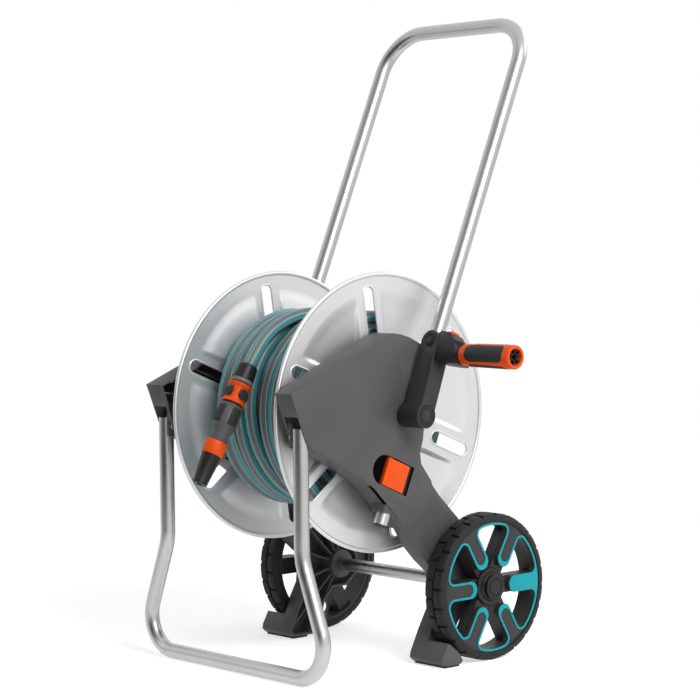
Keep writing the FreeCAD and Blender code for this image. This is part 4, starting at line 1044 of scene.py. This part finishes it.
def insertPrism(number, gap):
    # X of the flat shape is the way out of the grip here
    start, end = grip["inner"] + grip["margin"], grip["inner"] + grip["length"] - grip["margin"]
    bar = roundedBar(grip["half"] + gap, start - gap, end + gap, grip["corner"] + gap)
    place = at(gripPlace, roll=grip["turn"] + 360 / grip["inserts"] * number)
    return flatShape(place @ Matrix.Rotation(math.radians(90), 4, "Z"),
                     [[(-x, z) for x, z in bar]], 4, 20)


def gripBody():
    start, end = grip["inner"], grip["inner"] + grip["length"]
    last = gripRadius(end)
    body = ringPiece(gripPlace, [
        (start, grip["bore"]), (start, grip["radius"] - 1.2), (start + 0.4, grip["radius"] - 0.5),
        (start + 1.5, grip["radius"]), (end - 2.4, last), (end - 1.0, last - 0.4),
        (end - 0.2, last - 1.2), (end, last - 2.0), (end, grip["hole"] + 0.6),
        (end - 0.6, grip["hole"]), (end - grip["depth"], grip["hole"]),
        (end - grip["depth"], grip["bore"])], 96)
    grooves = []
    for number in range(grip["inserts"]):
        tool = insertPrism(number, grip["gap"])
        sleeve = ringPiece(gripPlace, [(start + 3, gripRadius(start) - 0.5),
                                       (start + 3, gripRadius(start) + 3),
                                       (end - 3, last + 3), (end - 3, last - 0.5)], 96)
        grooves.append(carved(sleeve, [tool], "INTERSECT"))
    return smooth(carved(body, grooves), 30)


def gripInserts():
    start, end = grip["inner"] + grip["margin"], grip["inner"] + grip["length"] - grip["margin"]
    pieces = []
    for number in range(grip["inserts"]):
        sleeve = ringPiece(gripPlace, [
            (start - 2, gripRadius(start) - 1.6), (start - 2, gripRadius(start) + grip["stand"]),
            (end + 2, gripRadius(end) + grip["stand"]), (end + 2, gripRadius(end) - 1.6)], 96)
        pieces.append(carved(sleeve, [insertPrism(number, 0.0)], "INTERSECT"))
    return softEdges(joined(pieces, "inserts"), 0.35 * mm, 40)


def gripStar():
    end = grip["inner"] + grip["length"]
    ribs = [block(at(gripPlace, roll=360 / grip["ribs"] * number + grip["ribRoll"]),
                  (end - grip["depth"], end - 2.5), (4.2, grip["hole"] + 0.3), (-1.1, 1.1))
            for number in range(grip["ribs"])]
    core = ringPiece(gripPlace, [(end - grip["depth"], 3.4), (end - grip["depth"], 5.4),
                                 (end - 4.5, 5.4), (end - 4.5, 3.4)], 36)
    return smooth(joined([core] + ribs, "star"), 35)


dress(gripBody(), "crank_grip_made", "orange_plastic", "crank_grip", "crank_grip")
dress(gripInserts(), "grip_inserts_made", "soft_black", "crank_grip", "grip_inserts")
dress(gripStar(), "grip_end_ribs", "black_plastic", "crank_grip")
print("crank made")


# Fluted nut and spray tip of the hose end.
nozzle = {"nutLength": 21.0, "nutBore": 8.9, "tipStart": 130.5, "tipLength": 41.0,
          "lines": 96, "every": 4}


def fluted(item, depth, low, high):
    # every few lines of a turned piece stand in towards its axis
    place, count, every = nozzlePlace, nozzle["lines"], nozzle["every"]
    back = place.inverted()
    work = editing(item)
    for vertex in work.verts:
        here = back @ vertex.co / mm
        reach = math.hypot(here.y, here.z)
        step = round(math.atan2(here.z, here.y) / (2 * math.pi / count)) % count
        if low < here.x < high and step % every == 0 and reach > 6:
            share = (reach - depth) / reach
            vertex.co = place @ (Vector((here.x, here.y * share, here.z * share)) * mm)
    bmesh.update_edit_mesh(item.data)
    letGo()
    return smooth(item, 28)


def hoseNut():
    end = nozzle["nutLength"]
    nut = ringPiece(nozzlePlace, [(0, nozzle["nutBore"]), (0, 11.4), (0.6, 12), (2.0, 12.9),
                                  (2.4, 13.2), (end - 3, 14.7), (end - 2.6, 14.7),
                                  (end - 1.8, 14.9), (end - 0.5, 15), (end, 14.5), (end, 10.3),
                                  (8, 10.3), (8, nozzle["nutBore"])], nozzle["lines"])
    return fluted(nut, 0.9, 2.2, end - 2.8)


def sprayTip():
    start = nozzle["tipStart"]
    end = start + nozzle["tipLength"]
    tip = ringPiece(nozzlePlace, [(start, 9.1), (start, 12.8), (start + 0.6, 13.3),
                                  (start + 2, 13.2), (start + 2.6, 13.0), (start + 20, 11.6),
                                  (start + 37.4, 9.95), (start + 38, 10.0), (start + 40.2, 9.8),
                                  (end, 9.2), (end, 4.2), (start + 30, 4.2), (start + 30, 9.1)],
                    nozzle["lines"])
    return fluted(tip, 0.8, start + 2.3, start + 37.6)


dress(hoseNut(), "hose_nut_made", "black_plastic", "reel", "hose_nut")
dress(sprayTip(), "nozzle_tip_made", "black_plastic", "nozzle_twist", "nozzle_tip")
print("nozzle made")


# Stage and light. Reflections and the light from around have a dark strip at the front.
frontDark = [(stop, (shade, shade, shade)) for stop, shade in (
    (0.0, 0.85), (0.25, 0.97), (0.7, 0.92), (0.86, 0.5), (0.93, 0.08), (1.0, 0.04))]
stage = {"size": 24.0, "near": 0.6, "far": 1.5, "lift": 0.6, "under": 0.0004}


def stageSheet():
    # a pale floor that is white to the camera and to reflections, and keeps the shadow
    bpy.ops.mesh.primitive_plane_add(size=stage["size"], location=(0, 0, -stage["under"]))
    floor = bpy.context.object
    floor.name = "floor"
    pale = Finish("paleFloor", Base_Color=(0.86, 0.86, 0.86), Roughness=0.9,
                  Specular_IOR_Level=0.1)
    toCamera, glossy = [pale.node("ShaderNodeLightPath", out=kind)
                        for kind in ("Is Camera Ray", "Is Glossy Ray")]
    seen = pale.node("ShaderNodeMath", {"operation": "MAXIMUM"}, (toCamera, glossy))
    x, y = pale.axes(pale.objectPlace(), 2)
    away = pale.node("ShaderNodeMath", {"operation": "SQRT"}, (x * x + y * y, 0.0))
    far = pale.ranged(away, 0.0, 1.0, stage["near"], stage["far"])
    front = pale.node("ShaderNodeMath", {"operation": "DIVIDE"}, (y, away)) * -0.5 + 0.5
    colour = pale.mixed(glossy, (1, 1, 1), pale.ramp(front, *frontDark))
    glow, soft, dark = [pale.node("ShaderNodeEmission", None, {"Color": shade, "Strength": power})
                        for shade, power in ((colour, 1.0), ((1, 1, 1, 1), stage["lift"]),
                                             ((1, 1, 1, 1), 0.0))]
    under = pale.node("ShaderNodeAddShader", None, (pale.plain(), pale.blend(seen, dark, soft)))
    pale.show(pale.blend(seen * far, under, glow))
    floor.data.materials.append(pale.material)


def studioLight(name, place, aim, size, power):
    data = bpy.data.lights.new(name, "AREA")
    data.shape = "RECTANGLE"
    data.size, data.size_y = size
    data.energy = power
    item = bpy.data.objects.new(name, data)
    scene.collection.objects.link(item)
    item.location = place
    item.rotation_euler = (Vector(aim) - Vector(place)).to_track_quat("-Z", "Y").to_euler()


def studioWorld(strength, shine):
    # white to the camera; everything else sees the strip
    sky = Backdrop("studio")
    scene.world = sky.world
    way = sky.node("ShaderNodeTexCoord", out="Generated")
    facing = sky.node("ShaderNodeVectorMath", {"operation": "DOT_PRODUCT"},
                      (way, (0.0, -1.0, 0.0)), out="Value")
    shade = sky.ramp(facing * 0.5 + 0.5, *frontDark)
    lit, gloss, bright = [
        sky.node("ShaderNodeBackground", None, {"Color": colour, "Strength": power})
        for colour, power in ((shade, strength), (shade, shine), ((1, 1, 1, 1), 1.0))]
    toCamera, glossy = [sky.node("ShaderNodeLightPath", out=kind)
                        for kind in ("Is Camera Ray", "Is Glossy Ray")]
    sky.show(sky.blend(toCamera, sky.blend(glossy, lit, gloss), bright))


stageSheet()
studioWorld(strength=0.36, shine=1.05)
studioLight("keySoft", (2.5, -0.5, 2.1), (0, 0, 0.35), (1.3, 1.3), 62)
studioLight("fillSoft", (-1.6, -2.2, 1.3), (0, 0, 0.35), (1.2, 1.6), 5)
studioLight("rimSoft", (0.6, 2.4, 1.9), (0, 0, 0.4), (2.0, 1.2), 18)
scene.view_settings.view_transform = "Standard"
print("stage lit")
